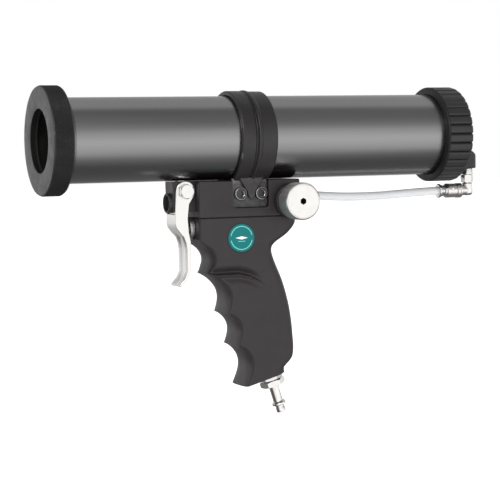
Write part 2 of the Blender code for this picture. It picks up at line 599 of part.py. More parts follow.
def make_regulator(finishes):
    at = spot(REG_X, 0, REG_Z)
    base = BLOCK_HALF + GAP
    bonnet = (
        (9.4, 5.0), (9.4, 6.2), (base, 6.2), (base, 12.0), (base + 4.6, 12.0), (base + 5.0, 11.6),
        (base + 5.0, 8.6), (28.5, 8.6), (28.5, SPINDLE_R + 0.2), (21.2, SPINDLE_R + 0.2), (21.2, 5.0),
    )
    turned("regulator_bonnet", bonnet, finishes["black_plastic"], at, NEAR, PART_SIDES)

    hub = SPINDLE_R + GAP
    shell = (
        (KNOB_FACE - 3.1, 0), (KNOB_FACE - 3.1, hub), (33.0, hub), (33.0, 9.4), (KNOB_BACK, 9.4),
        (KNOB_BACK, KNOB_R - 0.5), (KNOB_BACK + 0.5, KNOB_R), (KNOB_FACE - 0.9, KNOB_R),
        (KNOB_FACE, KNOB_R - 0.9), (KNOB_FACE, 0),
    )
    knob = turned("regulator_knob", shell, finishes["nickel"], at, NEAR, BARREL_SIDES)
    combine(knob, rod("knob_key", 2.4, 8.0, spot(REG_X, -KNOB_FACE + 5.0, REG_Z), NEAR, 6))
    spindle_end = KNOB_FACE - 3.4
    spindle = ((17.0, 0), (17.0, SPINDLE_R), (spindle_end, SPINDLE_R), (spindle_end, 0))
    screw = turned("regulator_spindle", spindle, finishes["zinc"], at, NEAR, PART_SIDES)
    combine(screw, rod("spindle_key", 2.4, 6.0, spot(REG_X, -spindle_end + 4.0, REG_Z), NEAR, 6))

    seat = ((15.2, 0), (15.2, 4.7), (16.7, 4.7), (16.7, 0))
    turned("spring_seat", seat, finishes["brass"], at, NEAR, PART_SIDES)
    coil("regulator_spring", finishes["zinc"], spot(REG_X, -8.9, REG_Z), NEAR, 3.7, 0.45, 6.0, 3)
    piston = ((6.8, 0), (6.8, 6.1), (8.6, 6.1), (8.6, 0))
    turned("regulator_piston", piston, finishes["brass"], at, NEAR, PART_SIDES)
    poppet = ((3.0, 0), (3.0, 1.1), (6.5, 1.1), (6.5, 0))
    turned("regulator_poppet", poppet, finishes["brass"], at, NEAR, SCREW_SIDES)


# ---------------------------------------------------------------- hose and its fittings

def make_hose(finishes):
    route = ((35.4, ARM_Z), (42.5, ARM_Z - 0.1), (55.0, -41.7), (70.0, -42.7), (86.0, -43.0), (100.0, -42.8),
             (112.0, -42.2), (124.0, -41.6), (135.0, -41.1), (146.0, ARM_Z), (156.0, ARM_Z))
    curve = bpy.data.curves.new("air_hose", "CURVE")
    curve.dimensions = "3D"
    curve.bevel_depth = HOSE_R * MM
    curve.bevel_resolution = 3
    curve.resolution_u = 1
    curve.use_fill_caps = True
    line = curve.splines.new("POLY")
    line.points.add(len(route) - 1)
    for point, (x, z) in zip(line.points, route):
        point.co = (*spot(x, 0, z), 1.0)
    curve.materials.append(finishes["hose"])
    made = bpy.data.objects.new("air_hose", curve)
    bpy.context.scene.collection.objects.link(made)


def make_hose_fittings(finishes):
    front = spot(0, 0, ARM_Z)
    face = BLOCK_REAR + GAP
    connector = (
        (face - 5.0, 2.0), (face - 5.0, 3.8), (face, 3.8), (face, 5.6), (face + 4.2, 5.6), (face + 4.2, 2.0),
    )
    turned("hose_connector", connector, finishes["nickel"], front, BACK, SMALL_SIDES)
    inner = HOSE_R + GAP
    nut = ((face + 4.6, inner), (face + 4.6, 5.2), (face + 10.6, 5.2), (face + 11.4, 4.4), (face + 11.4, inner))
    turned("hose_connector_nut", nut, finishes["nickel"], front, BACK, SMALL_SIDES)

    flare = ((146.2, inner), (146.2, 4.6), (147.5, 5.1), (150.8, 4.0), (150.8, inner))
    turned("hose_ferrule", flare, finishes["nickel"], front, BACK, PART_SIDES)
    rear_nut = ((151.2, inner), (151.2, 4.3), (152.6, 4.3), (152.9, 5.2), (160.6, 5.2), (160.6, 3.9),
                (156.4, 3.9), (156.4, inner))
    turned("hose_nut", rear_nut, finishes["nickel"], front, BACK, PART_SIDES)

    reach = ELBOW_X
    arm = ((reach, 0), (reach, 3.95), (165.2, 4.1), (165.0, 5.5), (161.1, 5.5), (160.9, 5.2), (160.9, 3.6),
           (156.6, 3.6), (156.6, 0))
    arm_piece = turned("elbow_arm", arm, None, front, BACK, PART_SIDES, smooth=False)
    post_z = BOSS_BOTTOM + 8.0
    post = (
        (0, 0), (0, 3.6), (8.4, 3.6), (8.4, 4.0), (12.0, 4.3), (12.4, 4.3), (12.4, 2.7), (18.6, 2.7),
        (18.6, 4.0), (25.8, 4.0), (27.2, 3.2), (27.8, 1.8), (27.8, 0),
    )
    elbow = turned("hose_elbow", post, finishes["nickel"], spot(ELBOW_X, 0, post_z), DOWN, PART_SIDES)
    combine(elbow, arm_piece, "UNION")
    hex_nut("elbow_nut", 12.7, 18.3, 4.5, 3.0, finishes["nickel"], spot(ELBOW_X, 0, post_z), DOWN)


def make_inlet(finishes):
    at = spot(INLET_X, 0, INLET_Z)
    bushing = ((-13.0, 0), (-13.0, 6.2), (0.2, 6.2), (0.2, 0))
    piece = turned("inlet_bushing", bushing, finishes["nickel"], at, INLET, PART_SIDES)
    collar = ((0.1, 0), (0.1, 7.7), (0.5, 8.1), (3.0, 8.1), (3.0, 0))
    combine(piece, turned("bushing_hex", collar, None, at, INLET, 6, smooth=False), "UNION")
    combine(piece, rod("bushing_bore", 3.6, 20.0, at - INLET * 15.0 * MM, INLET, PART_SIDES))
    washer = ((-0.5, 6.5), (-0.5, 7.3), (-0.2, 7.3), (-0.2, 6.5))
    turned("inlet_washer", washer, finishes["rubber"], at, INLET, PART_SIDES)
    tip = INLET_LENGTH
    nipple = (
        (-9.0, 1.8), (-9.0, 3.3), (3.4, 3.3), (3.4, 4.0), (7.6, 4.0), (7.8, 3.5), (19.6, 3.5), (20.4, 4.9),
        (22.0, 4.9), (22.6, 3.1), (24.0, 3.1), (24.6, NIPPLE_TIP_R), (tip, NIPPLE_TIP_R), (tip, 1.8),
    )
    body = turned("inlet_nipple", nipple, finishes["nickel"], at, INLET, PART_SIDES)
    hexagon = ((3.3, 3.0), (3.3, 8.5), (3.8, 8.9), (7.0, 8.9), (7.6, 8.0), (7.6, 3.0))
    combine(body, turned("nipple_hex", hexagon, None, at, INLET, 6, smooth=False), "UNION")


def main():
    clear_scene()
    finishes = {
        "anodised": finish_colour("anodised", (0.17, 0.17, 0.17), 0.35, 0.9),
        "steel_dark": finish_colour("steel_dark", (0.2, 0.2, 0.2), 0.4, 0.9),
        "black_metal": finish_colour("black_metal", (0.02, 0.02, 0.02), 0.45, 0.4),
        "black_plastic": finish_colour("black_plastic", (0.015, 0.015, 0.016), 0.5),
        "handle": finish_colour("handle", (0.045, 0.04, 0.042), 0.5),
        "rubber": finish_colour("rubber", (0.01, 0.01, 0.01), 0.8),
        "aluminium": finish_colour("aluminium", (0.7, 0.7, 0.7), 0.35, 1.0),
        "nickel": finish_colour("nickel", (0.75, 0.73, 0.7), 0.2, 1.0),
        "zinc": finish_colour("zinc", (0.45, 0.45, 0.46), 0.35, 1.0),
        "brass": finish_colour("brass", (0.7, 0.5, 0.2), 0.3, 1.0),
        "bronze": finish_colour("bronze", (0.4, 0.3, 0.2), 0.7, 0.8),
        "badge": finish_colour("badge", (0.0, 0.25, 0.24), 0.4),
        "hose": finish_colour("hose", (0.85, 0.86, 0.86), 0.3),
    }
    make_barrel(finishes)
    make_front_cap(finishes)
    make_rear_cap(finishes)
    make_piston(finishes)
    make_collar(finishes)
    make_head_block(finishes)
    make_gasket(finishes)
    make_grip(finishes)
    make_badge(finishes)
    make_trigger(finishes)
    make_valve(finishes)
    make_regulator(finishes)
    make_hose(finishes)
    make_hose_fittings(finishes)
    make_inlet(finishes)


main()
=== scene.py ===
"""Looks of the air-powered caulking gun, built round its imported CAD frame.

Shapes are written in gun coordinates, in millimetres: X runs along the barrel from the front cap (-X)
to the rear cap (+X), Y runs across, with the regulator knob at -Y, and Z is up. The barrel's axis is
Y = Z = 0. spot() turns gun coordinates into the frame.
"""

import math

import bmesh
import bpy
from mathutils import Matrix, Vector


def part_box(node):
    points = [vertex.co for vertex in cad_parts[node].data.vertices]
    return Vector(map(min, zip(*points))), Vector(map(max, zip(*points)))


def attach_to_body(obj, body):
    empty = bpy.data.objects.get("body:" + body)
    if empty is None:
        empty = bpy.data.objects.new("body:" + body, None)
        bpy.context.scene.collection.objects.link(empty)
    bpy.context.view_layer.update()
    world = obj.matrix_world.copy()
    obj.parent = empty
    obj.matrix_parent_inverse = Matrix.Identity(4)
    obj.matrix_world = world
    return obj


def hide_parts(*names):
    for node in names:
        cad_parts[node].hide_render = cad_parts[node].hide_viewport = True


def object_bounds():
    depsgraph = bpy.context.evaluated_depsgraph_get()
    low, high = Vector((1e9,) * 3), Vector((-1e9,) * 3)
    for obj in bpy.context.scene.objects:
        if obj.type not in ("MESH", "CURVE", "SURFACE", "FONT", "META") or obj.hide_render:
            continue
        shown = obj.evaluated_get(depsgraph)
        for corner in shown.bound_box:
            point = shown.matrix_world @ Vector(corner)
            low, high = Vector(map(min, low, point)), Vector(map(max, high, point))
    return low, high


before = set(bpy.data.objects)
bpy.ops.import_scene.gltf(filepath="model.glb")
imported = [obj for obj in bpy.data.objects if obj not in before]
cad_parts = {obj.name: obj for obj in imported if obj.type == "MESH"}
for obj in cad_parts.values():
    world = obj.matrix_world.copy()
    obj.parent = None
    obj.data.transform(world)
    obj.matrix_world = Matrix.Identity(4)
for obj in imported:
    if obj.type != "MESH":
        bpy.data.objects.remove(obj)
cad_low, cad_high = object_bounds()

MM = 0.001
CAP_FRONT = -150.0
cap_low, cap_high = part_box("front_cap")
ZERO = Vector((cap_low.x - CAP_FRONT * MM, (cap_low.y + cap_high.y) / 2, (cap_low.z + cap_high.z) / 2))

# Barrel and caps
BARREL_R = 28.5
BORE_R = 26.5
BARREL_FRONT = -144.4
BARREL_REAR = 150.0
CAP_R = 36.5
CAP_REAR = -136.4
LIP_REAR = -133.2
LIP_R = 29.4
CAP_HOLE_R = 21.2
CAP_PLATE = 3.5
THREAD_R = 33.0
REAR_CAP_R = 33.7
REAR_CAP_FRONT = 137.5
REAR_CAP_REAR = 158.2
REAR_CAP_FLOOR = 152.2
RIBS = 32
ELBOW_X = 171.0
BOSS_R = 6.5
BOSS_TOP = -4.0
BOSS_END_TOP = -15.5
BOSS_BOTTOM = -25.0
ARM_Z = -40.8
PISTON_REAR = 149.0

# Collar and head block
GAP = 0.3
COLLAR_R = 32.0
COLLAR_FRONT = -18.5
COLLAR_REAR = 7.8
BLOCK_HALF = 15.5
BLOCK_FRONT = -44.2
BLOCK_REAR = 30.0
BLOCK_TOP = -28.8
BLOCK_BOTTOM = -53.8
RECESS_DEPTH = 4.0
RECESS_FRONT = -20.0
RECESS_REAR = 6.6
RECESS_BOTTOM = -47.8
CLAMP_SCREWS_X = (-13.9, 1.4)
CLAMP_SCREW_Z = -38.0
NOSE_HALF = 7.4
NOSE_FRONT = -60.1
NOSE_BOTTOM = -49.5
EXHAUST_Z = -43.4
EXHAUST_R = 6.75
EXHAUST_FRONT = -62.5

# Trigger, valve and regulator
PIVOT_X = -51.5
PIVOT_Z = -35.6
EYE_R = 6.95
TRIGGER_HALF = 9.0
TRIGGER_SHEET = 1.2
PIVOT_R = 2.45
VALVE_Z = -61.3
VALVE_R = 6.4
PLUNGER_R = 5.0
REG_X = 22.2
REG_Z = -43.7
KNOB_R = 12.75
KNOB_FACE = 38.0
KNOB_BACK = 24.0
SPINDLE_R = 3.9

# Grip and inlet
GRIP_TOP = -54.4
GRIP_HALF = 15.5
TOE_Z = -170.6
HEEL_Z = -161.6
FRONT_CUSPS = ((BLOCK_FRONT, -69.2), (-37.8, -92.0), (-24.9, -119.5), (-18.1, -142.0), (-12.2, TOE_Z))
GROOVES = ((6.0, 1.0), (7.4, 0.8), (5.2, 0.75), (6.7, 0.75))    # depth and skew of each finger groove
REAR_PROFILE = (
    (30.0, GRIP_TOP), (29.6, -59.5), (24.0, -66.0), (13.4, -73.5), (12.4, -80.0), (20.0, -99.6),
    (24.6, -117.0), (26.8, -135.0), (26.6, -151.0), (20.2, -158.3), (20.2, HEEL_Z),
)
LEDGE = ((-37.9, -92.7), (-28.9, -92.9), (-15.7, -92.8), (-6.9, -95.0), (0.5, -99.4), (5.0, -103.5))
INLET_X = 11.7
INLET_Z = -165.0
INLET_TILT = math.radians(17.5)
INLET_LENGTH = 27.4
BADGE_X = -14.5
BADGE_Z = -67.9

HOSE_R = 3.0

# Camera: where it stands, its turns in degrees and its focal length in millimetres
CAMERA = (-460.413, -1085.156, -5.021)
CAMERA_YAW = 22.92
CAMERA_PITCH = -3.52
CAMERA_ROLL = -1.10
CAMERA_LENS = 123.05

# Light level by the angle round the barrel's axis, in degrees
LIGHT_STOPS = (
    (-180, 0.95), (-168, 0.7), (-150, 0.22), (-78, 0.16), (-58, 0.30), (-33, 1.0), (-8, 1.25), (12, 0.95),
    (34, 0.42), (50, 0.30), (84, 0.24), (94, 0.62), (150, 0.52), (166, 0.75), (180, 0.95),
)

EVENLY = (1, 1, 1)
BACK = Vector((1, 0, 0))
FORWARD = Vector((-1, 0, 0))
NEAR = Vector((0, -1, 0))
FAR = Vector((0, 1, 0))
DOWN = Vector((0, 0, -1))
INLET = Vector((math.sin(INLET_TILT), 0, -math.cos(INLET_TILT)))


# ---- camera

def make_camera():
    data = bpy.data.cameras.new("camera")
    data.lens = CAMERA_LENS
    data.clip_end = 20.0
    made = bpy.data.objects.new("camera", data)
    bpy.context.scene.collection.objects.link(made)
    turn = (Matrix.Rotation(-math.radians(CAMERA_YAW), 4, "Z")
            @ Matrix.Rotation(math.pi / 2 + math.radians(CAMERA_PITCH), 4, "X")
            @ Matrix.Rotation(math.radians(CAMERA_ROLL), 4, "Z"))
    made.matrix_world = Matrix.Translation(spot(*CAMERA)) @ turn
    bpy.context.scene.camera = made


# ---- materials

def srgb(*levels):
    """Display levels from 0 to 255 as a linear colour."""
    return tuple(((v / 255 + 0.055) / 1.055) ** 2.4 if v > 10 else v / 255 / 12.92 for v in levels)


def add_node(tree, kind, **values):
    """A shader node with some of its inputs set; an underscore in a key stands for a space."""
    node = tree.nodes.new(kind)
    for key, value in values.items():
        node.inputs[key.replace("_", " ")].default_value = value
    return node


class Finish:
    """A Principled material whose colour, roughness and normal take layers of procedural detail."""

    def __init__(self, name, colour, roughness, metallic=0.0, **settings):
        self.material = bpy.data.materials.new(name)
        self.material.use_nodes = True
        self.tree = self.material.node_tree
        self.shader = self.tree.nodes["Principled BSDF"]
        self.colour = colour
        self.roughness = roughness
        self.shader.inputs["Base Color"].default_value = (*colour, 1.0)
        self.shader.inputs["Roughness"].default_value = roughness
        self.shader.inputs["Metallic"].default_value = metallic
        for key, value in settings.items():
            self.shader.inputs[key.replace("_", " ")].default_value = value
        self.place = self.tree.nodes.new("ShaderNodeTexCoord").outputs["Object"]

    def link(self, source, target):
        self.tree.links.new(source, target)

    def noise(self, scale, stretch=EVENLY):
        """Noise with features about 1 / scale metres across, drawn out along the axes of small stretch."""
        mapping = add_node(self.tree, "ShaderNodeMapping", Scale=stretch)
        self.link(self.place, mapping.inputs["Vector"])
        texture = add_node(self.tree, "ShaderNodeTexNoise", Scale=scale, Detail=4.0)
        self.link(mapping.outputs[0], texture.inputs["Vector"])
        return texture.outputs[0]

    def ranged(self, source, low, high, start=0.3, end=0.7):
        node = add_node(self.tree, "ShaderNodeMapRange",
                        From_Min=start, From_Max=end, To_Min=low, To_Max=high)
        self.link(source, node.inputs["Value"])
        return node.outputs[0]

    def mix_colour(self, share, other):
        """Blends the colour so far into other, by share."""
        node = self.tree.nodes.new("ShaderNodeMix")
        node.data_type = "RGBA"
        self.link(share, node.inputs[0])
        before = self.shader.inputs["Base Color"]
        if before.is_linked:
            self.link(before.links[0].from_socket, node.inputs[6])
        else:
            node.inputs[6].default_value = before.default_value
        node.inputs[7].default_value = (*other, 1.0)
        self.link(node.outputs[2], before)

    def vary(self, share, scale, stretch=EVENLY):
        """Lighter and darker patches, and rougher and smoother ones."""
        lighter = tuple(min(1.0, c * (1 + share)) for c in self.colour)
        self.mix_colour(self.ranged(self.noise(scale, stretch), 0.0, 1.0), lighter)
        patches = self.noise(scale * 1.7, stretch)
        rough = self.ranged(patches, self.roughness * (1 - share), self.roughness * (1 + share))
        self.link(rough, self.shader.inputs["Roughness"])

    def grain(self, scale, height, stretch=EVENLY, strength=0.5):
        """Fine relief; height is in millimetres."""
        bump = add_node(self.tree, "ShaderNodeBump", Strength=strength, Distance=height * MM)
        self.link(self.noise(scale, stretch), bump.inputs["Height"])
        normal = self.shader.inputs["Normal"]
        if normal.is_linked:
            self.link(normal.links[0].from_socket, bump.inputs["Normal"])
        self.link(bump.outputs[0], normal)

    def worn_edges_and_painted_shade(self, colour, start=0.52, end=0.6):
        """Broken patches of another colour: rubbed wear on convex edges; painted shade in hollows, when end
        is below start.
        """
        edge = self.tree.nodes.new("ShaderNodeNewGeometry").outputs["Pointiness"]
        patchy = self.tree.nodes.new("ShaderNodeMath")
        patchy.operation = "MULTIPLY"
        self.link(self.ranged(edge, 0.0, 1.0, start, end), patchy.inputs[0])
        self.link(self.ranged(self.noise(300.0), 0.1, 1.0), patchy.inputs[1])
        self.mix_colour(patchy.outputs[0], colour)


def make_finishes():
    """Materials by key, each made with the arguments of Finish, vary, grain and worn_edges_and_painted_shade
    in turn.
    """
    rows = (
        ("anodised", ("anodised", srgb(147, 147, 147), 0.27, 1.0), (0.12, 60, (0.06, 1, 1)),
         (900, 0.01, (0.03, 1, 1), 0.35), (), {}),
        # Near-black painted shade: the barrel's bore, the front cap's hole and outer rim, and the knob's
        # hexagon socket.
        ("painted_shade", ("painted_shade_black", srgb(17, 17, 15), 0.8, 0.0), (0.2, 90), (700, 0.02, (0.1, 1, 1)),
         (), dict(Specular_IOR_Level=0.2)),
        ("dark_steel", ("dark_steel", srgb(120, 119, 118), 0.3, 1.0), (0.15, 150), (1500, 0.01), (), {}),
        ("black_metal", ("black_satin_metal", srgb(47, 45, 46), 0.4, 0.35), (0.15, 120), (2600, 0.02),
         (srgb(120, 118, 118),), {}),
        # A darker copy of the black finishes: the front cap's knurled band, and painted shade on the rear
        # cap's front face and chamfers.
        ("dark_knurl_and_painted_shade", ("dark_knurl_and_painted_shade", srgb(24, 23, 23), 0.5, 0.0), (0.15, 120), (3000, 0.01),
         (), dict(Specular_IOR_Level=0.3)),
        ("black_plastic", ("black_plastic", srgb(38, 38, 38), 0.42, 0.0), (0.12, 140), (3500, 0.02), (), {}),
        ("handle", ("handle_plastic", srgb(45, 40, 43), 0.44, 0.0), (0.10, 90), (2600, 0.03, EVENLY, 0.35),
         (), dict(Specular_IOR_Level=0.4)),
        ("rubber", ("rubber", srgb(30, 30, 31), 0.75, 0.0), (0.2, 200), (2000, 0.03), (), {}),
        ("nickel", ("bright_nickel", srgb(232, 230, 227), 0.17, 1.0), (0.06, 220), (1300, 0.006, EVENLY, 0.3),
         (), {}),
        # The knurled nickel is darkened in its hollows: painted shade in the knurl valleys.
        ("knurled", ("knurled_nickel", srgb(240, 238, 235), 0.34, 1.0), (0.1, 220),
         (1300, 0.006, EVENLY, 0.3), (srgb(62, 60, 58), 0.46, 0.38), {}),
        ("satin", ("satin_nickel", srgb(205, 204, 202), 0.42, 1.0), (0.1, 260), (1800, 0.01), (), {}),
        ("trigger", ("trigger_nickel", srgb(236, 234, 231), 0.24, 1.0), (0.05, 160, (1, 1, 0.2)),
         (1500, 0.01, (1, 1, 0.08), 0.35), (), {}),
        # Zinc plating; on the socket screws' rims this finish is a painted highlight.
        ("zinc", ("zinc_steel", srgb(178, 178, 180), 0.3, 1.0), (0.12, 400), (2500, 0.01), (), {}),
        ("oxide", ("black_oxide_steel", srgb(72, 71, 71), 0.34, 0.8), (0.15, 400), (2500, 0.01), (), {}),
        ("aluminium", ("aluminium", srgb(205, 206, 208), 0.3, 1.0), (0.08, 120), (1200, 0.01), (), {}),
        ("brass", ("brass", srgb(205, 170, 95), 0.28, 1.0), (0.1, 300), (1500, 0.01), (), {}),
        ("bronze", ("sintered_bronze", srgb(110, 88, 62), 0.7, 0.8), (0.3, 900), (3500, 0.15, EVENLY, 1.0),
         (), {}),
        ("hose", ("milky_hose", srgb(208, 209, 210), 0.28, 0.0), (0.05, 160, (0.2, 1, 1)),
         (500, 0.01, (0.2, 1, 1), 0.3),
         (), dict(Subsurface_Weight=0.3, Subsurface_Scale=0.002, Subsurface_Radius=EVENLY)),
        ("enamel", ("badge_enamel", srgb(0, 112, 112), 0.5, 0.0), (0.06, 500), (2500, 0.01),
         (), dict(Specular_IOR_Level=0.3)),
        ("print_ring", ("badge_print", srgb(120, 214, 205), 0.35, 0.0), (0.05, 500), (2500, 0.01), (), {}),
        ("print_white", ("badge_print_white", srgb(240, 246, 245), 0.35, 0.0), (0.03, 500), (2500, 0.01),
         (), {}),
    )
    made = {}
    for key, look, vary, grain, worn_edges_and_painted_shade, settings in rows:
        finish = Finish(*look, **settings)
        finish.vary(*vary)
        finish.grain(*grain)
        if worn_edges_and_painted_shade:
            finish.worn_edges_and_painted_shade(*worn_edges_and_painted_shade)
        made[key] = finish.material
    return made


# ---- mesh helpers

def spot(x, y, z):
    return ZERO + Vector((x, y, z)) * MM


def facing(toward):
    """A rotation that takes local +X to toward and keeps one cross axis on a frame axis."""
    side = Vector((0, 1, 0)) if abs(toward.y) < 0.5 else Vector((-toward.y, 0, 0))
    up = toward.cross(side)
    return Matrix((toward, side, up)).transposed()


def add_object(name, bm, finishes, at=None, toward=BACK, sharp=35):
    """A smooth-shaded object; finishes is one material, or several that face.material_index picks from."""
    bmesh.ops.recalc_face_normals(bm, faces=bm.faces)
    mesh = bpy.data.meshes.new(name)
    bm.to_mesh(mesh)
    bm.free()
    for finish in finishes if isinstance(finishes, (list, tuple)) else [finishes]:
        mesh.materials.append(finish)
    mesh.shade_smooth()
    mesh.set_sharp_from_angle(angle=math.radians(sharp))
    made = bpy.data.objects.new(name, mesh)
    bpy.context.scene.collection.objects.link(made)
    made.matrix_world = Matrix.Translation(spot(0, 0, 0) if at is None else at) @ facing(toward).to_4x4()
    return made


def attach(piece, body, slot, *nodes):
    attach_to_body(piece, body)
    if nodes:
        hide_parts(*nodes)
    return piece


def rounded(profile, radius, closed):
    """The profile with each corner that turns more than 20 degrees replaced by a short arc."""
    if radius == 0:
        return list(profile)
    points = [Vector(p) for p in profile]
    count = len(points)
    result = []
    for i, here in enumerate(points):
        if not closed and i in (0, count - 1):
            result.append(here)
            continue
        before = points[i - 1]
        after = points[(i + 1) % count]
        back = before - here
        ahead = after - here
        turn = math.pi - back.angle(ahead)
        if turn < math.radians(20):
            result.append(here)
            continue
        size = min(radius * math.tan(turn / 2), back.length * 0.45, ahead.length * 0.45)
        start = here + back.normalized() * size
        end = here + ahead.normalized() * size
        for t in (0, 0.25, 0.5, 0.75, 1):
            result.append(start * (1 - t) ** 2 + here * 2 * t * (1 - t) + end * t ** 2)
    return [(p.x, p.y) for p in result]


def ring_point(bm, along, radius, turn):
    """A vertex round local X, in millimetres, turned from local +Z."""
    return bm.verts.new((along * MM, -radius * math.sin(turn) * MM, radius * math.cos(turn) * MM))


def join_rings(bm, first, second, count):
    """Faces between two rings of count points, either of which may be a single point on the axis."""
    strip = []
    for i in range(count):
        j = (i + 1) % count
        corners = (first[i % len(first)], first[j % len(first)],
                   second[j % len(second)], second[i % len(second)])
        unique = list(dict.fromkeys(corners))
        if len(unique) > 2:
            strip.append(bm.faces.new(unique))
    return strip


def lathe(bm, profile, segments, closed, shift=None):
    """Rings of (along, radius) points round local X, joined by faces. shift(ring, column) moves a radius."""
    rings = []
    for number, (along, radius) in enumerate(profile):
        if radius < 1e-6:
            rings.append([bm.verts.new((along * MM, 0, 0))])
            continue
        ring = []
        for i in range(segments):
            r = radius + (shift(number, i) if shift else 0.0)
            ring.append(ring_point(bm, along, r, math.tau * i / segments))
        rings.append(ring)
    pairs = list(zip(rings, rings[1:])) + ([(rings[-1], rings[0])] if closed else [])
    return [join_rings(bm, first, second, segments) for first, second in pairs]


def turned(name, profile, finish, at, toward=BACK, segments=64, corner=0.25):
    """A turned piece with softened corners; a profile that starts off the axis makes a ring."""
    closed = profile[0][1] > 0
    bm = bmesh.new()
    lathe(bm, rounded(profile, corner, closed), segments, closed)
    return add_object(name, bm, finish, at, toward, sharp=50)


def hexagonal(name, start, end, corner_r, finish, at, toward, chamfer, phase=0.0):
    """A hexagon whose corners are chamfered by the cone that a lathe leaves on a real nut."""
    flat_r = corner_r * math.cos(math.pi / 6)
    face_r = flat_r - 0.05
    rim_r = corner_r + 0.01
    columns = 60
    bm = bmesh.new()
    rings = [[bm.verts.new((start * MM, 0, 0))]]
    for along, limit in ((start, face_r), (start + chamfer, rim_r), (end - chamfer, rim_r), (end, face_r)):
        ring = []
        for i in range(columns):
            reach = flat_r / math.cos((math.tau * i / columns) % (math.pi / 3) - math.pi / 6)
            x = along
            if limit > corner_r:
                cone = (reach - flat_r) / (corner_r - flat_r)
                x += chamfer * (cone - 1) * 0.9 if along < (start + end) / 2 else chamfer * (1 - cone) * 0.9
            ring.append(ring_point(bm, x, min(limit, reach), math.tau * i / columns + math.radians(phase)))
        rings.append(ring)
    rings.append([bm.verts.new((end * MM, 0, 0))])
    for first, second in zip(rings, rings[1:]):
        join_rings(bm, first, second, columns)
    return add_object(name, bm, finish, at, toward, sharp=12)


def close_prism(bm, first, second):
    """Walls and ends between two rings. The order of the faces is the same in every run."""
    bridge(bm, first, second)
    bm.faces.new(first)
    bm.faces.new(second)


def slab(name, outline, y_low, y_high, finish):
    """An outline of (x, z) gun coordinates, extended across the gun from y_low to y_high."""
    bm = bmesh.new()
    rings = [[bm.verts.new((x * MM, y * MM, z * MM)) for x, z in outline] for y in (y_low, y_high)]
    close_prism(bm, *rings)
    return add_object(name, bm, finish)


def block(name, low, high, finish):
    outline = ((low[0], low[2]), (high[0], low[2]), (high[0], high[2]), (low[0], high[2]))
    return slab(name, outline, low[1], high[1], finish)


def settle(piece):
    """Applies the piece's modifiers to its mesh."""
    depsgraph = bpy.context.evaluated_depsgraph_get()
    mesh = bpy.data.meshes.new_from_object(piece.evaluated_get(depsgraph))
    piece.modifiers.clear()
    piece.data = mesh


def combine(piece, tool):
    """Cuts the tool out of the piece and removes the tool."""
    change = piece.modifiers.new("combine", "BOOLEAN")
    change.operation = "DIFFERENCE"
    change.solver = "EXACT"
    change.object = tool
    settle(piece)
    bpy.data.objects.remove(tool)


def rod(name, radius, length, at, toward, finish, segments=48):
    profile = ((0, 0), (0, radius), (length, radius), (length, 0))
    return turned(name, profile, finish, at, toward, segments, 0.0)


def soften(piece, width, segments=3, angle=30):
    """Rounds the edges that turn more than angle degrees."""
    change = piece.modifiers.new("soften", "BEVEL")
    change.width = width * MM
    change.segments = segments
    change.limit_method = "ANGLE"
    change.angle_limit = math.radians(angle)
    change.use_clamp_overlap = True
    settle(piece)
    even(piece)


def even(piece):
    """Smooth shading in which large faces stay flat."""
    piece.data.shade_smooth()
    piece.data.set_sharp_from_angle(angle=math.radians(40))
    change = piece.modifiers.new("even", "WEIGHTED_NORMAL")
    change.keep_sharp = True
    settle(piece)


def trough(name, path, section, finish):
    """A cutter along (x, z) points; section lists (y, depth) with depth towards the path's +X side."""
    bm = bmesh.new()
    rings = []
    for i, (x, z) in enumerate(path):
        before = path[max(0, i - 1)]
        after = path[min(len(path) - 1, i + 1)]
        inward = Vector((before[1] - after[1], after[0] - before[0])).normalized()
        rings.append([bm.verts.new(Vector((x + inward.x * d, y, z + inward.y * d)) * MM) for y, d in section])
    for first, second in zip(rings, rings[1:]):
        bridge(bm, first, second)
    bm.faces.new(rings[0])
    bm.faces.new(rings[-1])
    return add_object(name, bm, finish)


def arc(centre, radius, start, end, steps):
    """Points on a circle in the X-Z plane, from start to end degrees."""
    angles = [math.radians(start + (end - start) * i / steps) for i in range(steps + 1)]
    return [(centre[0] + radius * math.cos(a), centre[1] + radius * math.sin(a)) for a in angles]


def smooth_value(points, z):
    """The x of a Catmull-Rom curve through (x, z) points that run downwards."""
    last = len(points) - 2
    i = min(last, max(0, sum(1 for p in points[1:-1] if z < p[1])))
    (x1, z1), (x2, z2) = points[i], points[i + 1]
    x0, z0 = points[max(0, i - 1)]
    x3, z3 = points[min(len(points) - 1, i + 2)]
    step = z2 - z1
    slope1 = (x2 - x0) / (z2 - z0) * step
    slope2 = (x3 - x1) / (z3 - z1) * step
    t = (z - z1) / step
    return ((2 * t**3 - 3 * t**2 + 1) * x1 + (t**3 - 2 * t**2 + t) * slope1
            + (3 * t**2 - 2 * t**3) * x2 + (t**3 - t**2) * slope2)


# ---- hose

def make_hose(finish):
    route = ((35.4, ARM_Z), (42.5, ARM_Z - 0.1), (55.0, -41.7), (70.0, -42.7), (86.0, -43.0), (100.0, -42.8),
             (112.0, -42.2), (124.0, -41.6), (135.0, -41.1), (146.0, ARM_Z), (156.0, ARM_Z))
    curve = bpy.data.curves.new("air_hose_tube", "CURVE")
    curve.dimensions = "3D"
    curve.bevel_depth = HOSE_R * MM
    curve.bevel_resolution = 8
    curve.resolution_u = 6
    curve.use_fill_caps = True
    line = curve.splines.new("BEZIER")
    line.bezier_points.add(len(route) - 1)
    for point, (x, z) in zip(line.bezier_points, route):
        point.co = spot(x, 0, z)
        point.handle_left_type = "AUTO"
        point.handle_right_type = "AUTO"
    curve.materials.append(finish)
    made = bpy.data.objects.new("air_hose_tube", curve)
    bpy.context.scene.collection.objects.link(made)
    attach(made, "frame", "hose_plastic", "air_hose")


# ---- barrel and caps

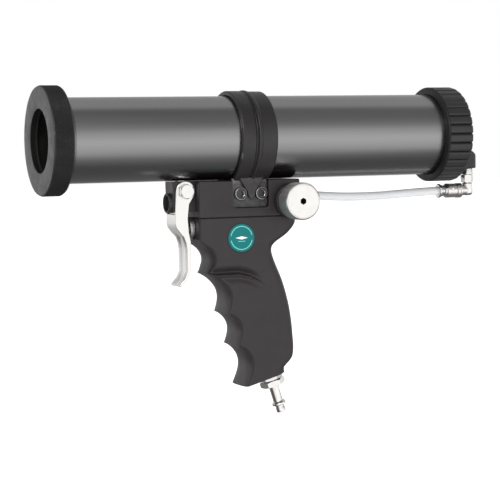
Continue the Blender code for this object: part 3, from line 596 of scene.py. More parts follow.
def make_barrel(finishes):
    wall = ((BARREL_FRONT, BORE_R), (BARREL_FRONT, BARREL_R), (BARREL_REAR, BARREL_R), (BARREL_REAR, BORE_R))
    bm = bmesh.new()
    profile = rounded(wall, 0.35, True)
    strips = lathe(bm, profile, 128, True)
    # Faces inside the bore take the near-black finish: painted shade inside the tube.
    for strip in strips:
        for face in strip:
            centre = face.calc_center_median()
            if math.hypot(centre.y, centre.z) < (BORE_R + 0.01) * MM:
                face.material_index = 1
    barrel = add_object("barrel", bm, [finishes["anodised"], finishes["painted_shade"]])
    attach(barrel, "frame", "anodised_barrel", "barrel_tube")
    inner = BARREL_R + GAP
    pitch = 1.5
    ring = [(BARREL_FRONT, inner)]
    turns = int((CAP_REAR - 0.5 - BARREL_FRONT) / pitch)
    for i in range(turns):
        start = BARREL_FRONT + i * pitch
        ring += [(start, THREAD_R - 0.5), (start + 0.5 * pitch, THREAD_R)]
    ring += [(CAP_REAR - 0.5, THREAD_R - 0.5), (CAP_REAR - 0.5, LIP_R), (LIP_REAR, LIP_R), (LIP_REAR, inner)]
    thread = turned("thread_ring", ring, finishes["dark_steel"], spot(0, 0, 0), segments=128, corner=0.2)
    attach(thread, "frame", "thread_ring", "front_thread_ring")


def diamond_band(bm, rings, columns, finish_index):
    """Joins checkerboard rings with triangles split along their low corners, so each diamond is a pyramid."""
    for number, (first, second) in enumerate(zip(rings, rings[1:])):
        for i in range(columns):
            j = (i + 1) % columns
            a, b, c, d = first[i], first[j], second[j], second[i]
            pair = ((a, b, c), (a, c, d)) if (number + i) % 2 == 0 else ((a, b, d), (b, c, d))
            for corners in pair:
                bm.faces.new(corners).material_index = finish_index


def ring_of(bm, along, radius, columns, depth=0.0, odd=0):
    """One ring round local X; with a depth, every second point is lower."""
    return [ring_point(bm, along, radius - (depth if (i + odd) % 2 == 0 else 0.0), math.tau * i / columns)
            for i in range(columns)]


def hex_ring(bm, along, corner_r, columns):
    """One ring round local X that follows a hexagon socket."""
    flat_r = corner_r * math.cos(math.pi / 6)
    turns = [math.tau * i / columns for i in range(columns)]
    return [ring_point(bm, along, flat_r / math.cos(turn % (math.pi / 3) - math.pi / 6), turn)
            for turn in turns]


def bridge(bm, first, second, finish_index=0):
    count = len(first)
    for i in range(count):
        j = (i + 1) % count
        bm.faces.new((first[i], first[j], second[j], second[i])).material_index = finish_index


def make_front_cap(finishes):
    columns = 280
    depth = 0.35
    floor = CAP_FRONT + CAP_PLATE
    thread = THREAD_R + 0.4
    bm = bmesh.new()
    face = rounded(((floor, thread), (floor, CAP_HOLE_R), (CAP_FRONT, CAP_HOLE_R), (CAP_FRONT, CAP_R - 0.7),
                    (CAP_FRONT + 0.7, CAP_R - depth)), 0.5, False)
    back = rounded(((CAP_REAR - 0.8, CAP_R - depth), (CAP_REAR, CAP_R - 0.9), (CAP_REAR, thread),
                    (floor, thread)), 0.3, False)
    front_rings = [ring_of(bm, along, radius, columns) for along, radius in face]
    # The hole's wall and the face's outer rim take the near-black finish: painted shade. The knurled band
    # takes the darker knurl finish.
    for first, second, (_, radius) in zip(front_rings, front_rings[1:], face):
        bridge(bm, first, second, 2 if radius < CAP_HOLE_R + 0.01 or radius > CAP_R - 0.4 else 0)
    rows = 15
    start = CAP_FRONT + 0.7
    step = (CAP_REAR - 0.8 - start) / rows
    band = [front_rings[-1]]
    for row in range(1, rows):
        band.append(ring_of(bm, start + step * row, CAP_R, columns, depth, odd=row % 2))
    back_rings = [ring_of(bm, along, radius, columns) for along, radius in back[:-1]]
    band.append(back_rings[0])
    diamond_band(bm, band, columns, 1)
    for first, second in zip(back_rings, back_rings[1:]):
        bridge(bm, first, second)
    bridge(bm, back_rings[-1], front_rings[0])
    looks = [finishes["black_metal"], finishes["dark_knurl_and_painted_shade"], finishes["painted_shade"]]
    cap = add_object("knurled_front_cap", bm, looks, sharp=20)
    attach(cap, "front_cap", "black_satin_metal", "front_cap")


def make_rear_cap(finishes):
    per_rib = 16
    columns = RIBS * per_rib
    depth = 1.7
    inner = BARREL_R + GAP
    outer = REAR_CAP_R
    front = REAR_CAP_FRONT
    rear = REAR_CAP_REAR
    rows = (    # along, radius and share of the groove's depth
        (REAR_CAP_FLOOR, 0.0, 0), (REAR_CAP_FLOOR, inner, 0), (front, inner, 0), (front, outer - 1.3, 0),
        (front + 0.4, outer - 0.5, 0), (front + 1.0, outer - 0.1, 0), (front + 1.5, outer, 0),
        (front + 1.9, outer, 0.45), (front + 2.5, outer, 0.95), (front + 3.4, outer, 1),
        (rear - 3.0, outer, 1), (rear - 1.5, outer - 0.35, 1), (rear - 0.5, outer - 1.1, 1),
        (rear, outer - 2.2, 0.9),
        (rear, outer - 4.2, 0), (rear - 0.6, outer - 4.9, 0), (rear - 0.6, 12.0, 0), (rear, 11.4, 0),
        (rear, 0.0, 0),
    )
    bm = bmesh.new()

    def groove(ring, column):
        share = (column % per_rib) / per_rib
        return -rows[ring][2] * depth * abs(2 * share - 1) ** 6

    strips = lathe(bm, [row[:2] for row in rows], columns, False, shift=groove)
    # The front face and its chamfers take the darker black finish: painted shade.
    for strip in strips[2:7]:
        for face in strip:
            face.material_index = 1
    cap = add_object("ribbed_rear_cap", bm, [finishes["black_plastic"], finishes["dark_knurl_and_painted_shade"]], sharp=40)
    attach(cap, "frame", "black_plastic", "rear_cap")

    bm = bmesh.new()
    side = BOSS_R - 0.05
    outline = [(rear - 2.0, side), (rear - 2.0, -side)]
    for i in range(25):
        turn = math.radians(-90 + 180 * i / 24)
        outline.append((ELBOW_X + side * math.cos(turn), side * math.sin(turn)))
    rings = [[bm.verts.new((x * MM, y * MM, z * MM)) for x, y in outline] for z in (BOSS_BOTTOM, BOSS_TOP)]
    close_prism(bm, *rings)
    boss = add_object("rear_cap_port_boss", bm, finishes["black_plastic"])
    end = ELBOW_X + BOSS_R
    slope = ((rear, BOSS_TOP), (end, BOSS_END_TOP), (end + 1.0, BOSS_TOP + 1.0), (rear, BOSS_TOP + 1.0))
    combine(boss, slab("boss_slope", slope, -BOSS_R - 1.0, BOSS_R + 1.0, finishes["black_plastic"]))
    soften(boss, 1.2, 4)
    attach(boss, "frame", "black_plastic")


def make_piston(finishes):
    outer = BORE_R - 0.4
    groove = outer - 2.0
    length = 30.0
    profile = [(length - 4.0, 0), (length - 4.0, 22.5), (0, 22.5), (0, outer)]
    for start in (3.0, length - 8.0):
        profile += [(start, outer), (start, groove), (start + 4.0, groove), (start + 4.0, outer)]
    profile += [(length - 1.5, outer), (length, outer - 1.5), (length, 8.0), (length - 0.8, 7.0),
                (length - 0.8, 0)]
    at = spot(PISTON_REAR, 0, 0)
    piston = turned("machined_piston", profile, finishes["aluminium"], at, FORWARD, 96, 0.3)
    attach(piston, "piston", "aluminium", "piston")


# ---- collar, head block and screws

def recess_outline(inset, top):
    """The recess for a lug of the collar, its lower corners cut off and its sides moved in by inset."""
    front = RECESS_FRONT + inset
    rear = RECESS_REAR - inset
    low = RECESS_BOTTOM + inset
    cut = 1.6
    return ((front, top), (rear, top), (rear, low + cut), (rear - cut, low), (front + cut, low),
            (front, low + cut))


def make_collar(finishes):
    inner = BARREL_R + GAP
    groove = COLLAR_FRONT + 10.6
    band = (
        (COLLAR_FRONT, inner), (COLLAR_FRONT, COLLAR_R - 0.6), (COLLAR_FRONT + 1.0, COLLAR_R),
        (groove - 0.9, COLLAR_R), (groove, COLLAR_R - 1.4), (groove + 1.0, COLLAR_R - 1.4),
        (groove + 1.8, COLLAR_R + 0.4), (groove + 3.2, COLLAR_R + 0.4), (groove + 4.6, COLLAR_R - 0.4),
        (COLLAR_REAR - 1.2, COLLAR_R - 0.4), (COLLAR_REAR, COLLAR_R - 1.4), (COLLAR_REAR, inner),
    )
    collar = turned("clamp_collar", band, finishes["black_metal"], spot(0, 0, 0), segments=144, corner=0.9)
    attach(collar, "frame", "black_satin_metal", "barrel_collar")
    floor = BLOCK_HALF - RECESS_DEPTH + GAP
    plate = recess_outline(0.4, -27.5)
    middle = sum(CLAMP_SCREWS_X) / 2
    half = ((9.0, -26.8), (5.0, -33.6), (3.0, -36.2), (2.7, -38.2), (1.0, -41.5))
    rib = [(middle + w, z) for w, z in half] + [(middle - w, z) for w, z in reversed(half)]
    for side, y_sign in (("near", -1), ("far", 1)):
        plate_y = sorted((y_sign * floor, y_sign * (floor + 1.5)))
        rib_y = sorted((y_sign * (floor + 0.1), y_sign * (BLOCK_HALF + 0.9)))
        lug = slab("lug_plate_" + side, plate, *plate_y, finishes["black_metal"])
        soften(lug, 0.3)
        attach(lug, "frame", "black_satin_metal")
        web = slab("lug_rib_" + side, rib, *rib_y, finishes["black_metal"])
        soften(web, 0.7, 3)
        attach(web, "frame", "black_satin_metal")
        for number, x in zip(("front", "rear"), CLAMP_SCREWS_X):
            name = "clamp_screw_%s_%s" % (side, number)
            at = spot(x, y_sign * (floor + 1.5), CLAMP_SCREW_Z)
            make_socket_screw(name, finishes, at, Vector((0, y_sign, 0)), 4.5, 2.7, 2.0)


def make_socket_screw(node, finishes, at, outward, head_r, head_h, key_r):
    """The head of a socket screw: a finely fluted side, a rounded rim and a hexagon socket; the rim and the
    socket's edge are painted bright as a highlight.
    """
    columns = 72
    bm = bmesh.new()
    rings = [ring_of(bm, 0, head_r - 0.25, columns)]
    for along in (0.2, head_h - 0.7):
        rings.append(ring_of(bm, along, head_r, columns, 0.22))
    for drop, radius in ((0.45, head_r - 0.1), (0.12, head_r - 0.35), (0, head_r - 0.7), (0.25, head_r - 1.0),
                         (0.25, key_r + 0.8), (0, key_r + 0.6), (0.35, key_r + 0.2)):
        rings.append(ring_of(bm, head_h - drop, radius, columns))
    rings += [hex_ring(bm, along, key_r, columns) for along in (head_h - 0.4, head_h - 1.6)]
    # The rim and the socket's edge take the bright zinc finish: a painted highlight on the black oxide head.
    for number, (first, second) in enumerate(zip(rings, rings[1:])):
        bridge(bm, first, second, 1 if number in (3, 4, 7, 8) else 0)
    bm.faces.new(rings[0])
    bm.faces.new(rings[-1])
    head = add_object("head_of_" + node, bm, [finishes["oxide"], finishes["zinc"]], at, outward, sharp=30)
    attach(head, "frame", "zinc_steel", node)


def make_head_block(finishes):
    handle = finishes["handle"]
    low = (BLOCK_FRONT, -BLOCK_HALF, BLOCK_BOTTOM)
    head = block("valve_block", low, (BLOCK_REAR, BLOCK_HALF, BLOCK_TOP), handle)
    soften(head, 0.9, 3)
    for side, y_sign in (("near", -1), ("far", 1)):
        outline = recess_outline(0, BLOCK_TOP + 1.0)
        y_range = sorted((y_sign * (BLOCK_HALF - RECESS_DEPTH), y_sign * (BLOCK_HALF + 2.0)))
        combine(head, slab("recess_" + side, outline, *y_range, handle))
    combine(head, rod("connector_bore", 4.1, 7.0, spot(BLOCK_REAR + 1.0, 0, ARM_Z), FORWARD, handle))
    combine(head, rod("regulator_bore", 6.5, 14.0, spot(REG_X, -BLOCK_HALF - 3.0, REG_Z), FAR, handle))
    combine(head, rod("collar_groove", COLLAR_R + 0.4 + GAP, COLLAR_REAR - COLLAR_FRONT + 2 * GAP,
                      spot(COLLAR_FRONT - GAP, 0, 0), BACK, handle, 144))
    even(head)
    attach(head, "frame", "handle_plastic", "head_block")

    nose = block("valve_block_nose", (NOSE_FRONT, -NOSE_HALF, NOSE_BOTTOM),
                 (BLOCK_FRONT + 2.0, NOSE_HALF, BLOCK_TOP - 0.02), handle)
    combine(nose, rod("pivot_bore", PIVOT_R + GAP, 20.0, spot(PIVOT_X, -10.0, PIVOT_Z), FAR, handle))
    combine(nose, rod("nose_exhaust_bore", 5.5, 15.0, spot(EXHAUST_FRONT - 1.0, 0, EXHAUST_Z), BACK, handle))
    soften(nose, 0.6, 3)
    attach(nose, "frame", "handle_plastic")
    rim = ((0, 5.5), (0, EXHAUST_R), (5.0, EXHAUST_R), (5.0, 5.5))
    at = spot(EXHAUST_FRONT, 0, EXHAUST_Z)
    boss = turned("exhaust_boss", rim, finishes["black_plastic"], at, BACK, 72, 0.45)
    attach(boss, "frame", "black_plastic")


# ---- grip

def grip_front(z):
    """Front edge of the grip on its middle plane, and how far through a finger groove it is."""
    top_x, top_z = FRONT_CUSPS[0]
    if z >= top_z:
        return top_x, 0.0
    for (x1, z1), (x2, z2), (depth, skew) in zip(FRONT_CUSPS, FRONT_CUSPS[1:], GROOVES):
        if z >= z2:
            t = (z - z1) / (z2 - z1)
            bend = math.sin(math.pi * t ** skew)
            return x1 + (x2 - x1) * t + depth * bend, bend
    return FRONT_CUSPS[-1][0], 0.0


def ledge_height(x):
    """Height of the finger guard's line at x."""
    for (x1, z1), (x2, z2) in zip(LEDGE, LEDGE[1:]):
        if x <= x2:
            return z1 + (z2 - z1) * (x - x1) / (x2 - x1)
    return LEDGE[-1][1]


def hollow(distance, width):
    """A dip that falls steeply and is deepest at a fifth of its width."""
    if distance <= 0 or distance >= width:
        return 0.0
    t = distance / width
    return (3125 / 256) * t * (1 - t) ** 4


def side_relief(x, z):
    """How far the grip's side lies inside its flat: the hollows above and below the finger guard."""
    fade = 1.0 - min(1.0, max(0.0, (x + 9.0) / 14.0))
    fade = fade * fade * (3 - 2 * fade)
    above = z - ledge_height(x)
    return fade * (3.2 * hollow(above, 9.0) + 1.3 * hollow(-above - 0.8, 8.0))


def grip_section(front_z):
    """Closed section points: a front that turns into the finger grooves, flat cheeks and a round back."""
    share = (front_z - GRIP_TOP) / (TOE_Z - GRIP_TOP)
    rear_z = GRIP_TOP + share * (HEEL_Z - GRIP_TOP)
    front_x, bend = grip_front(front_z)
    rear_x = smooth_value(REAR_PROFILE, rear_z)
    ease = min(1.0, max(0.0, (FRONT_CUSPS[0][1] - front_z) / 6.0))
    nose = 1.6 + (1.0 + 3.4 * bend) * ease
    square = 4.5 - 1.6 * ease
    half = GRIP_HALF - 0.7 * ease
    back = 10.0
    nose_steps = 14
    side_steps = 30
    back_steps = 14
    side = []
    for i in range(nose_steps):
        a = math.radians(90 * i / nose_steps)
        side.append((front_x + nose * (1 - math.cos(a) ** (2 / square)), half * math.sin(a) ** (2 / square)))
    start = front_x + nose
    for i in range(side_steps):
        side.append((start + (rear_x - back - start) * i / side_steps, half))
    for i in range(back_steps):
        a = math.radians(90 * i / back_steps)
        side.append((rear_x - back * (1 - math.sin(a) ** 0.85), half * math.cos(a) ** 0.85))
    side.append((rear_x, 0.0))
    lean = (rear_z - front_z) / (rear_x - front_x)
    placed = []
    for x, y in side:
        z = front_z + lean * (x - front_x)
        inward = side_relief(x, z) * min(1.0, (y / half) ** 2) if y > 0 else 0.0
        placed.append((x, y - inward, z))
    return placed + [(x, -y, z) for x, y, z in reversed(placed[1:-1])]


def grip_levels():
    levels = [GRIP_TOP + (FRONT_CUSPS[0][1] - GRIP_TOP) * i / 18 for i in range(18)]
    for count, (_, z1), (_, z2) in zip((50, 60, 34, 34), FRONT_CUSPS, FRONT_CUSPS[1:]):
        levels += [z1 + (z2 - z1) * i / count for i in range(count)]
    return levels + [TOE_Z]


def make_grip(finishes):
    handle = finishes["handle"]
    bm = bmesh.new()
    rings = []
    for level in grip_levels():
        rings.append([bm.verts.new((x * MM, y * MM, z * MM)) for x, y, z in grip_section(level)])
    for upper, lower in zip(rings, rings[1:]):
        bridge(bm, upper, lower)
    for ring in (rings[0], rings[-1]):
        centre = sum((v.co for v in ring), Vector()) / len(ring)
        previous = ring
        for inset in (0.35, 0.9):
            inner = []
            for v in ring:
                inward = centre - v.co
                inward.z = 0
                inner.append(bm.verts.new(v.co + inward.normalized() * inset * MM))
            bridge(bm, previous, inner)
            previous = inner
        bm.faces.new(previous)
    grip = add_object("grip_shell", bm, handle, sharp=60)
    combine(grip, rod("valve_bore", VALVE_R, 14.0, spot(BLOCK_FRONT - 2.0, 0, VALVE_Z), BACK, handle))
    foot = Vector((INLET_X, 0, INLET_Z))
    combine(grip, rod("inlet_socket", 6.5, 16.0, spot(*(foot + INLET)), -INLET, handle))
    grip.data.shade_smooth()
    grip.data.set_sharp_from_angle(angle=math.radians(60))
    attach(grip, "frame", "handle_plastic", "grip")


def make_badge(finishes):
    at = spot(BADGE_X, -GRIP_HALF + 0.5, BADGE_Z)
    disc = ((0, 0), (0, 9.5), (1.15, 9.5), (1.4, 9.2), (1.4, 0))
    plate = turned("badge_plate", disc, finishes["enamel"], at, NEAR, 96, 0.1)
    attach(plate, "frame", "badge_enamel", "badge")
    top = -GRIP_HALF - 0.9
    middle = (BADGE_X, BADGE_Z)

    def printed(name, outline, finish):
        attach(slab(name, outline, top - 0.08, top + 0.3, finishes[finish]), "frame", "badge_enamel")

    for name, start, end in (("upper", 12, 168), ("lower", 192, 348)):
        printed("badge_%s_arc" % name, arc(middle, 8.1, start, end, 40) + arc(middle, 7.6, end, start, 40),
                "print_ring")
    lozenge = ((-4.6, 0), (0, 1.1), (4.6, 0), (0, -1.1))
    bar = ((-2.6, -2.5), (2.6, -2.5), (2.6, -2.1), (-2.6, -2.1))
    for name, shape, finish in (("badge_lozenge", lozenge, "print_white"), ("badge_bar", bar, "print_ring")):
        printed(name, [(BADGE_X + x, BADGE_Z + z) for x, z in shape], finish)


# ---- trigger and valve

def make_trigger(finishes):
    nickel = finishes["trigger"]
    pivot = (PIVOT_X, PIVOT_Z)
    outline = arc(pivot, EYE_R, -25, 178, 32)
    outline += [
        (-58.7, -40.0), (-59.3, -50.0), (-59.5, -57.0), (-58.6, -60.2), (-54.0, -66.2), (-52.5, -70.5),
        (-51.8, -75.0), (-51.8, -89.5), (-53.9, -94.3), (-57.4, -99.3), (-56.3, -100.1), (-51.6, -95.4),
        (-48.9, -89.6), (-48.9, -82.0), (-48.4, -76.0), (-48.3, -69.5), (-49.6, -63.0), (-50.2, -54.0),
        (-49.0, -44.2),
    ]
    trigger = slab("trigger_lever", outline, -TRIGGER_HALF, TRIGGER_HALF, nickel)
    hollow_shape = (
        (-70.0, -20.0), (-70.0, -50.8), (-58.1, -50.8), (-58.1, -57.0), (-57.2, -59.6), (-52.7, -65.5),
        (-51.1, -70.6), (-50.4, -75.0), (-50.3, -89.8), (-51.9, -93.4), (-40.0, -93.4), (-40.0, -20.0),
    )
    inside = TRIGGER_HALF - TRIGGER_SHEET
    combine(trigger, slab("trigger_hollow", hollow_shape, -inside, inside, nickel))
    soften(trigger, 0.5, 3, 25)
    pad = ((-57.6, -63.0), (-53.9, -66.6), (-52.5, -70.5), (-51.8, -75.0), (-51.8, -89.5), (-53.7, -94.0),
           (-56.2, -96.6))
    strips = [(9.6, -1.5), (-9.6, -1.5)]
    for i in range(33):
        y = -9.6 + 0.6 * i
        strips.append((y, 0.45 * (1 + math.cos(math.tau * y / 10.4))))
    combine(trigger, trough("trigger_strips", pad, strips, nickel))
    toe = ((-54.8, -95.6), (-56.8, -98.4))
    for i in range(3):
        y = 1.0 + 2.2 * i
        combine(trigger, trough("toe_groove", toe, ((y - 1.6, -1.0), (y, 0.3), (y + 1.6, -1.0)), nickel))
    combine(trigger, rod("trigger_bore", PIVOT_R + 0.08, 24.0, spot(PIVOT_X, -12.0, PIVOT_Z), FAR, nickel))
    even(trigger)
    attach(trigger, "trigger", "bright_nickel", "trigger")

    reach = TRIGGER_HALF + GAP
    shank = ((-reach, 0), (-reach, PIVOT_R), (reach + 4.2, PIVOT_R), (reach + 4.6, 2.0), (reach + 4.6, 0))
    bolt = turned("pivot_bolt_shank", shank, finishes["nickel"], spot(PIVOT_X, 0, PIVOT_Z), FAR, 48, 0.2)
    attach(bolt, "frame", "bright_nickel", "pivot_bolt")
    head_at = spot(PIVOT_X, -reach + 0.001, PIVOT_Z)
    head = hexagonal("pivot_bolt_head", 0, 3.4, 5.2, finishes["nickel"], head_at, NEAR, 0.7)
    attach(head, "frame", "bright_nickel")
    nut_at = spot(PIVOT_X, 0, PIVOT_Z)
    nut = hexagonal("pivot_lock_nut", reach, reach + 3.6, 4.5, finishes["nickel"], nut_at, FAR, 0.6)
    attach(nut, "frame", "bright_nickel", "pivot_nut")


def make_valve(finishes):
    at = spot(0, 0, VALVE_Z)
    seat = -32.0
    face = BLOCK_FRONT - 0.3
    bore = PLUNGER_R + 0.15
    body = VALVE_R - GAP
    bushing = (
        (face - 0.9, bore), (face - 0.9, 6.3), (face - 3.2, 6.3), (face - 3.2, 7.0), (face - 2.8, 7.35),
        (face, 7.35), (face, body), (seat, body),
        (seat, 3.4), (seat - 2.0, 3.4), (seat - 2.0, bore),
    )
    attach(turned("valve_guide", bushing, finishes["satin"], at, BACK, 72, 0.25),
           "frame", "bright_nickel", "valve_bushing")
    plunger = ((-54.6, 0), (-54.45, 1.0), (-53.9, 2.2), (-53.1, 3.2), (-52.0, 4.2), (-50.6, PLUNGER_R),
               (-39.0, PLUNGER_R), (-39.0, 2.0), (-28.0, 2.0), (-28.0, 0))
    attach(turned("valve_button", plunger, finishes["zinc"], at, BACK, 64, 0.3),
           "valve_plunger", "zinc_steel", "valve_plunger")


# ---- regulator

def make_regulator(finishes):
    at = spot(REG_X, 0, REG_Z)
    base = BLOCK_HALF + GAP
    bonnet = (
        (9.4, 5.0), (9.4, 6.2), (base, 6.2), (base, 12.0), (base + 4.4, 12.0), (base + 5.0, 11.4),
        (base + 5.0, 8.6), (28.5, 8.6), (28.5, SPINDLE_R + 0.2), (21.2, SPINDLE_R + 0.2), (21.2, 5.0),
    )
    attach(turned("regulator_housing", bonnet, finishes["black_plastic"], at, NEAR, 72, 0.4),
           "frame", "black_plastic", "regulator_bonnet")

    columns = 88
    depth = 0.36
    rows = 13
    hub = SPINDLE_R + GAP
    bm = bmesh.new()
    inner = rounded(((KNOB_FACE - 5.0, 9.4), (KNOB_BACK, 9.4), (KNOB_BACK, KNOB_R - 0.6),
                     (KNOB_BACK + 0.5, KNOB_R - depth)), 0.2, False)
    outer = [(KNOB_FACE - drop, KNOB_R - inset) for drop, inset in (
        (1.3, depth), (1.1, 0.1), (0.8, 0.05), (0.1, 0.75), (0, 1.0), (0, 1.2), (0.25, 1.35), (0.25, 1.6),
        (0.02, 1.75))]
    inner_rings = [ring_of(bm, along, radius, columns) for along, radius in inner]
    outer_rings = [ring_of(bm, along, radius, columns) for along, radius in outer]
    for rings in (inner_rings, outer_rings):
        for first, second in zip(rings, rings[1:]):
            bridge(bm, first, second)
    start = KNOB_BACK + 0.5
    step = (KNOB_FACE - 1.3 - start) / rows
    band = [inner_rings[-1]]
    for row in range(1, rows):
        band.append(ring_of(bm, start + step * row, KNOB_R, columns, depth, odd=row % 2))
    band.append(outer_rings[0])
    diamond_band(bm, band, columns, 2)
    key = [hex_ring(bm, along, 2.4, columns) for along in (KNOB_FACE - 0.02, KNOB_FACE - 4.5)]
    mid = ring_of(bm, KNOB_FACE - 0.02, 7.0, columns)
    bridge(bm, outer_rings[-1], mid)
    bridge(bm, mid, key[0])
    # The hexagon socket takes the near-black finish: painted shade inside the socket.
    bridge(bm, key[0], key[1], 1)
    bm.faces.new(key[1]).material_index = 1
    hub_ring = ring_of(bm, KNOB_FACE - 5.0, hub, columns)
    bridge(bm, hub_ring, inner_rings[0])
    bm.faces.new(hub_ring)
    looks = [finishes["nickel"], finishes["painted_shade"], finishes["knurled"]]
    knob = add_object("regulator_dial", bm, looks, at, NEAR, sharp=20)
    attach(knob, "knob", "bright_nickel", "regulator_knob")


# ---- fittings

def make_hose_fittings(finishes):
    nickel = finishes["nickel"]
    front = spot(0, 0, ARM_Z)
    face = BLOCK_REAR + GAP
    inner = 3.1
    parts = (
        ("connector_body", "hose_connector",
         ((face - 5.0, 2.0), (face - 5.0, 3.8), (face, 3.8), (face, 5.6), (face + 1.6, 5.6),
          (face + 2.0, 5.0), (face + 2.4, 5.6), (face + 4.2, 5.6), (face + 4.2, 2.0))),
        ("connector_cap_nut", "hose_connector_nut",
         ((face + 4.6, inner), (face + 4.6, 5.2), (face + 10.0, 5.2), (face + 11.4, 4.2),
          (face + 11.4, inner))),
        ("hose_flare", "hose_ferrule",
         ((146.2, inner), (146.2, 4.5), (146.9, 5.1), (147.8, 5.0), (149.4, 4.2), (150.8, 4.0),
          (150.8, inner))),
        ("hose_cap_nut", "hose_nut",
         ((151.2, inner), (151.2, 4.3), (152.5, 4.3), (152.9, 5.2), (156.2, 5.2), (156.5, 5.0), (156.8, 5.2),
          (160.6, 5.2), (160.6, 3.9), (156.4, 3.9), (156.4, inner))),
    )
    for name, node, profile in parts:
        piece = turned(name, profile, nickel, front, BACK, 64, 0.3)
        attach(piece, "frame", "bright_nickel", node)

    arm = ((ELBOW_X, 0), (ELBOW_X, 3.9), (166.0, 3.9), (165.3, 4.2), (165.0, 5.4), (163.6, 5.5),
           (163.2, 5.0), (162.8, 5.5), (161.1, 5.4), (160.8, 5.0), (160.8, 3.6), (156.6, 3.6), (156.6, 0))
    arm_piece = turned("elbow_arm", arm, nickel, front, BACK, 64, 0.35)
    attach(arm_piece, "frame", "bright_nickel")
    top = BOSS_BOTTOM + 8.0
    post = ((0, 0), (0, 3.6), (8.1, 3.6), (8.1, 4.0), (11.8, 4.3), (12.4, 4.3), (12.4, 2.7), (18.6, 2.7),
            (18.6, 3.7), (19.2, 4.0), (25.8, 4.0), (27.2, 3.2), (27.8, 1.8), (27.8, 0))
    elbow = turned("elbow_post", post, nickel, spot(ELBOW_X, 0, top), DOWN, 64, 0.5)
    attach(elbow, "frame", "bright_nickel", "hose_elbow")
    nut = hexagonal("elbow_hex", 12.7, 18.3, 4.5, nickel, spot(ELBOW_X, 0, top), DOWN, 0.4, 20)
    attach(nut, "frame", "bright_nickel", "elbow_nut")


def make_inlet(finishes):
    nickel = finishes["nickel"]
    at = spot(INLET_X, 0, INLET_Z)
    sleeve = ((-13.0, 3.6), (-13.0, 6.2), (0.4, 6.2), (0.4, 3.6))
    bushing = turned("inlet_sleeve", sleeve, nickel, at, INLET, 64, 0.2)
    attach(bushing, "frame", "bright_nickel", "inlet_bushing")
    attach(hexagonal("inlet_sleeve_hex", 0.1, 3.0, 8.1, nickel, at, INLET, 0.4, 22), "frame", "bright_nickel")
    attach(hexagonal("inlet_plug_hex", 3.4, 7.6, 8.9, nickel, at, INLET, 0.5, 14), "frame", "bright_nickel")
    nipple = (
        (-9.0, 1.8), (-9.0, 3.3), (3.4, 3.3), (3.4, 4.0), (8.0, 4.0), (8.4, 3.5), (19.4, 3.5), (20.2, 4.3),
        (20.6, 4.9), (22.0, 4.9), (22.5, 3.1), (24.0, 3.1), (24.6, 3.3), (INLET_LENGTH, 3.3),
        (INLET_LENGTH, 1.8),
    )
    attach(turned("inlet_plug", nipple, nickel, at, INLET, 72, 0.3), "frame", "bright_nickel", "inlet_nipple")


# ---- CAD nodes that stay

def dress_nodes(finishes):
    """Materials for the CAD nodes that keep their own shape."""
    kept = {
        "rubber": ("front_seal", "rear_cap_gasket", "piston_seal_rear", "piston_seal_front", "handle_gasket",
                   "inlet_washer", "valve_seal"),
        "zinc": ("handle_screw_1", "handle_screw_2", "handle_screw_3", "valve_spring", "regulator_spring",
                 "regulator_spindle"),
        "brass": ("regulator_piston", "regulator_poppet", "spring_seat"),
        "bronze": ("exhaust_silencer",),
    }
    for key, names in kept.items():
        for name in names:
            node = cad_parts[name]
            if not node.material_slots:
                node.data.materials.append(finishes[key])
            for holder in node.material_slots:
                holder.material = finishes[key]


# ---- floor and light

def make_floor():
    bm = bmesh.new()
    bmesh.ops.create_grid(bm, x_segments=40, y_segments=40, size=6.0)
    paint = Finish("floor_paper", (0.93, 0.93, 0.93), 0.8, Emission_Color=(1, 1, 1, 1),
                   Emission_Strength=0.85)
    paint.vary(0.02, 3)
    paint.grain(200, 0.02)
    lowest = Vector((0, 0, cad_low.z - 0.0005))
    floor = add_object("floor", bm, paint.material, lowest)
    floor.visible_glossy = False


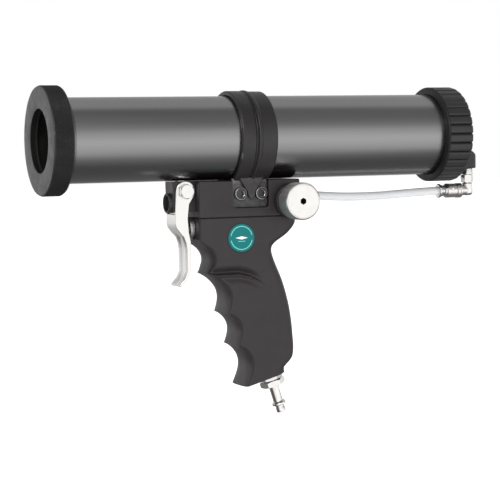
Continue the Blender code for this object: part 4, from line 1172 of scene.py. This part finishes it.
def make_world():
    """Studio light as a function of the angle round the barrel's axis; the camera sees plain white."""
    world = bpy.data.worlds.new("studio")
    bpy.context.scene.world = world
    world.use_nodes = True
    tree = world.node_tree
    link = tree.links.new
    place = tree.nodes.new("ShaderNodeTexCoord").outputs["Generated"]
    split = tree.nodes.new("ShaderNodeSeparateXYZ")
    link(place, split.inputs[0])
    toward = tree.nodes.new("ShaderNodeMath")
    toward.operation = "MULTIPLY"
    toward.inputs[1].default_value = -1.0
    link(split.outputs["Y"], toward.inputs[0])
    angle = tree.nodes.new("ShaderNodeMath")
    angle.operation = "ARCTAN2"
    link(split.outputs["Z"], angle.inputs[0])
    link(toward.outputs[0], angle.inputs[1])
    turn = add_node(tree, "ShaderNodeMapRange", From_Min=-math.pi, From_Max=math.pi)
    link(angle.outputs[0], turn.inputs["Value"])
    ramp = tree.nodes.new("ShaderNodeValToRGB")
    ramp.color_ramp.interpolation = "EASE"
    link(turn.outputs[0], ramp.inputs["Fac"])
    elements = ramp.color_ramp.elements
    while len(elements) > 1:
        elements.remove(elements[-1])
    for number, (degrees, level) in enumerate(LIGHT_STOPS):
        position = (degrees + 180) / 360
        element = elements[0] if number == 0 else elements.new(position)
        element.position = position
        element.color = (level, level, level, 1)
    light = tree.nodes["Background"]
    shade = add_node(tree, "ShaderNodeMapRange", From_Min=-0.85, From_Max=-0.6, To_Min=0.4, To_Max=1.0)
    link(split.outputs["X"], shade.inputs["Value"])
    link(shade.outputs[0], light.inputs["Strength"])
    link(ramp.outputs["Color"], light.inputs["Color"])
    white = add_node(tree, "ShaderNodeBackground", Color=(1, 1, 1, 1))
    chooser = tree.nodes.new("ShaderNodeMixShader")
    link(tree.nodes.new("ShaderNodeLightPath").outputs["Is Camera Ray"], chooser.inputs[0])
    link(light.outputs[0], chooser.inputs[1])
    link(white.outputs[0], chooser.inputs[2])
    link(chooser.outputs[0], tree.nodes["World Output"].inputs["Surface"])


def make_softbox(name, at, aim, size, power):
    data = bpy.data.lights.new(name, "AREA")
    data.shape = "RECTANGLE"
    data.size, data.size_y = size
    data.energy = power
    lamp = bpy.data.objects.new(name, data)
    bpy.context.scene.collection.objects.link(lamp)
    direction = Vector(aim) - Vector(at)
    lamp.matrix_world = Matrix.Translation(at) @ direction.to_track_quat("-Z", "Y").to_matrix().to_4x4()


# ---- build

make_camera()
looks = make_finishes()
make_hose(looks["hose"])
for make in (make_barrel, make_front_cap, make_rear_cap, make_piston, make_collar, make_head_block,
             make_grip, make_badge, make_trigger, make_valve, make_regulator, make_hose_fittings,
             make_inlet, dress_nodes):
    make(looks)
make_floor()
make_world()
make_softbox("key", (-0.9, -1.4, 1.1), (0, 0, 0), (0.9, 0.7), 14)
make_softbox("left_fill", (-1.5, 0.5, 0.3), (0, 0, 0), (0.8, 1.2), 4)
bpy.context.scene.view_settings.view_transform = "Standard"
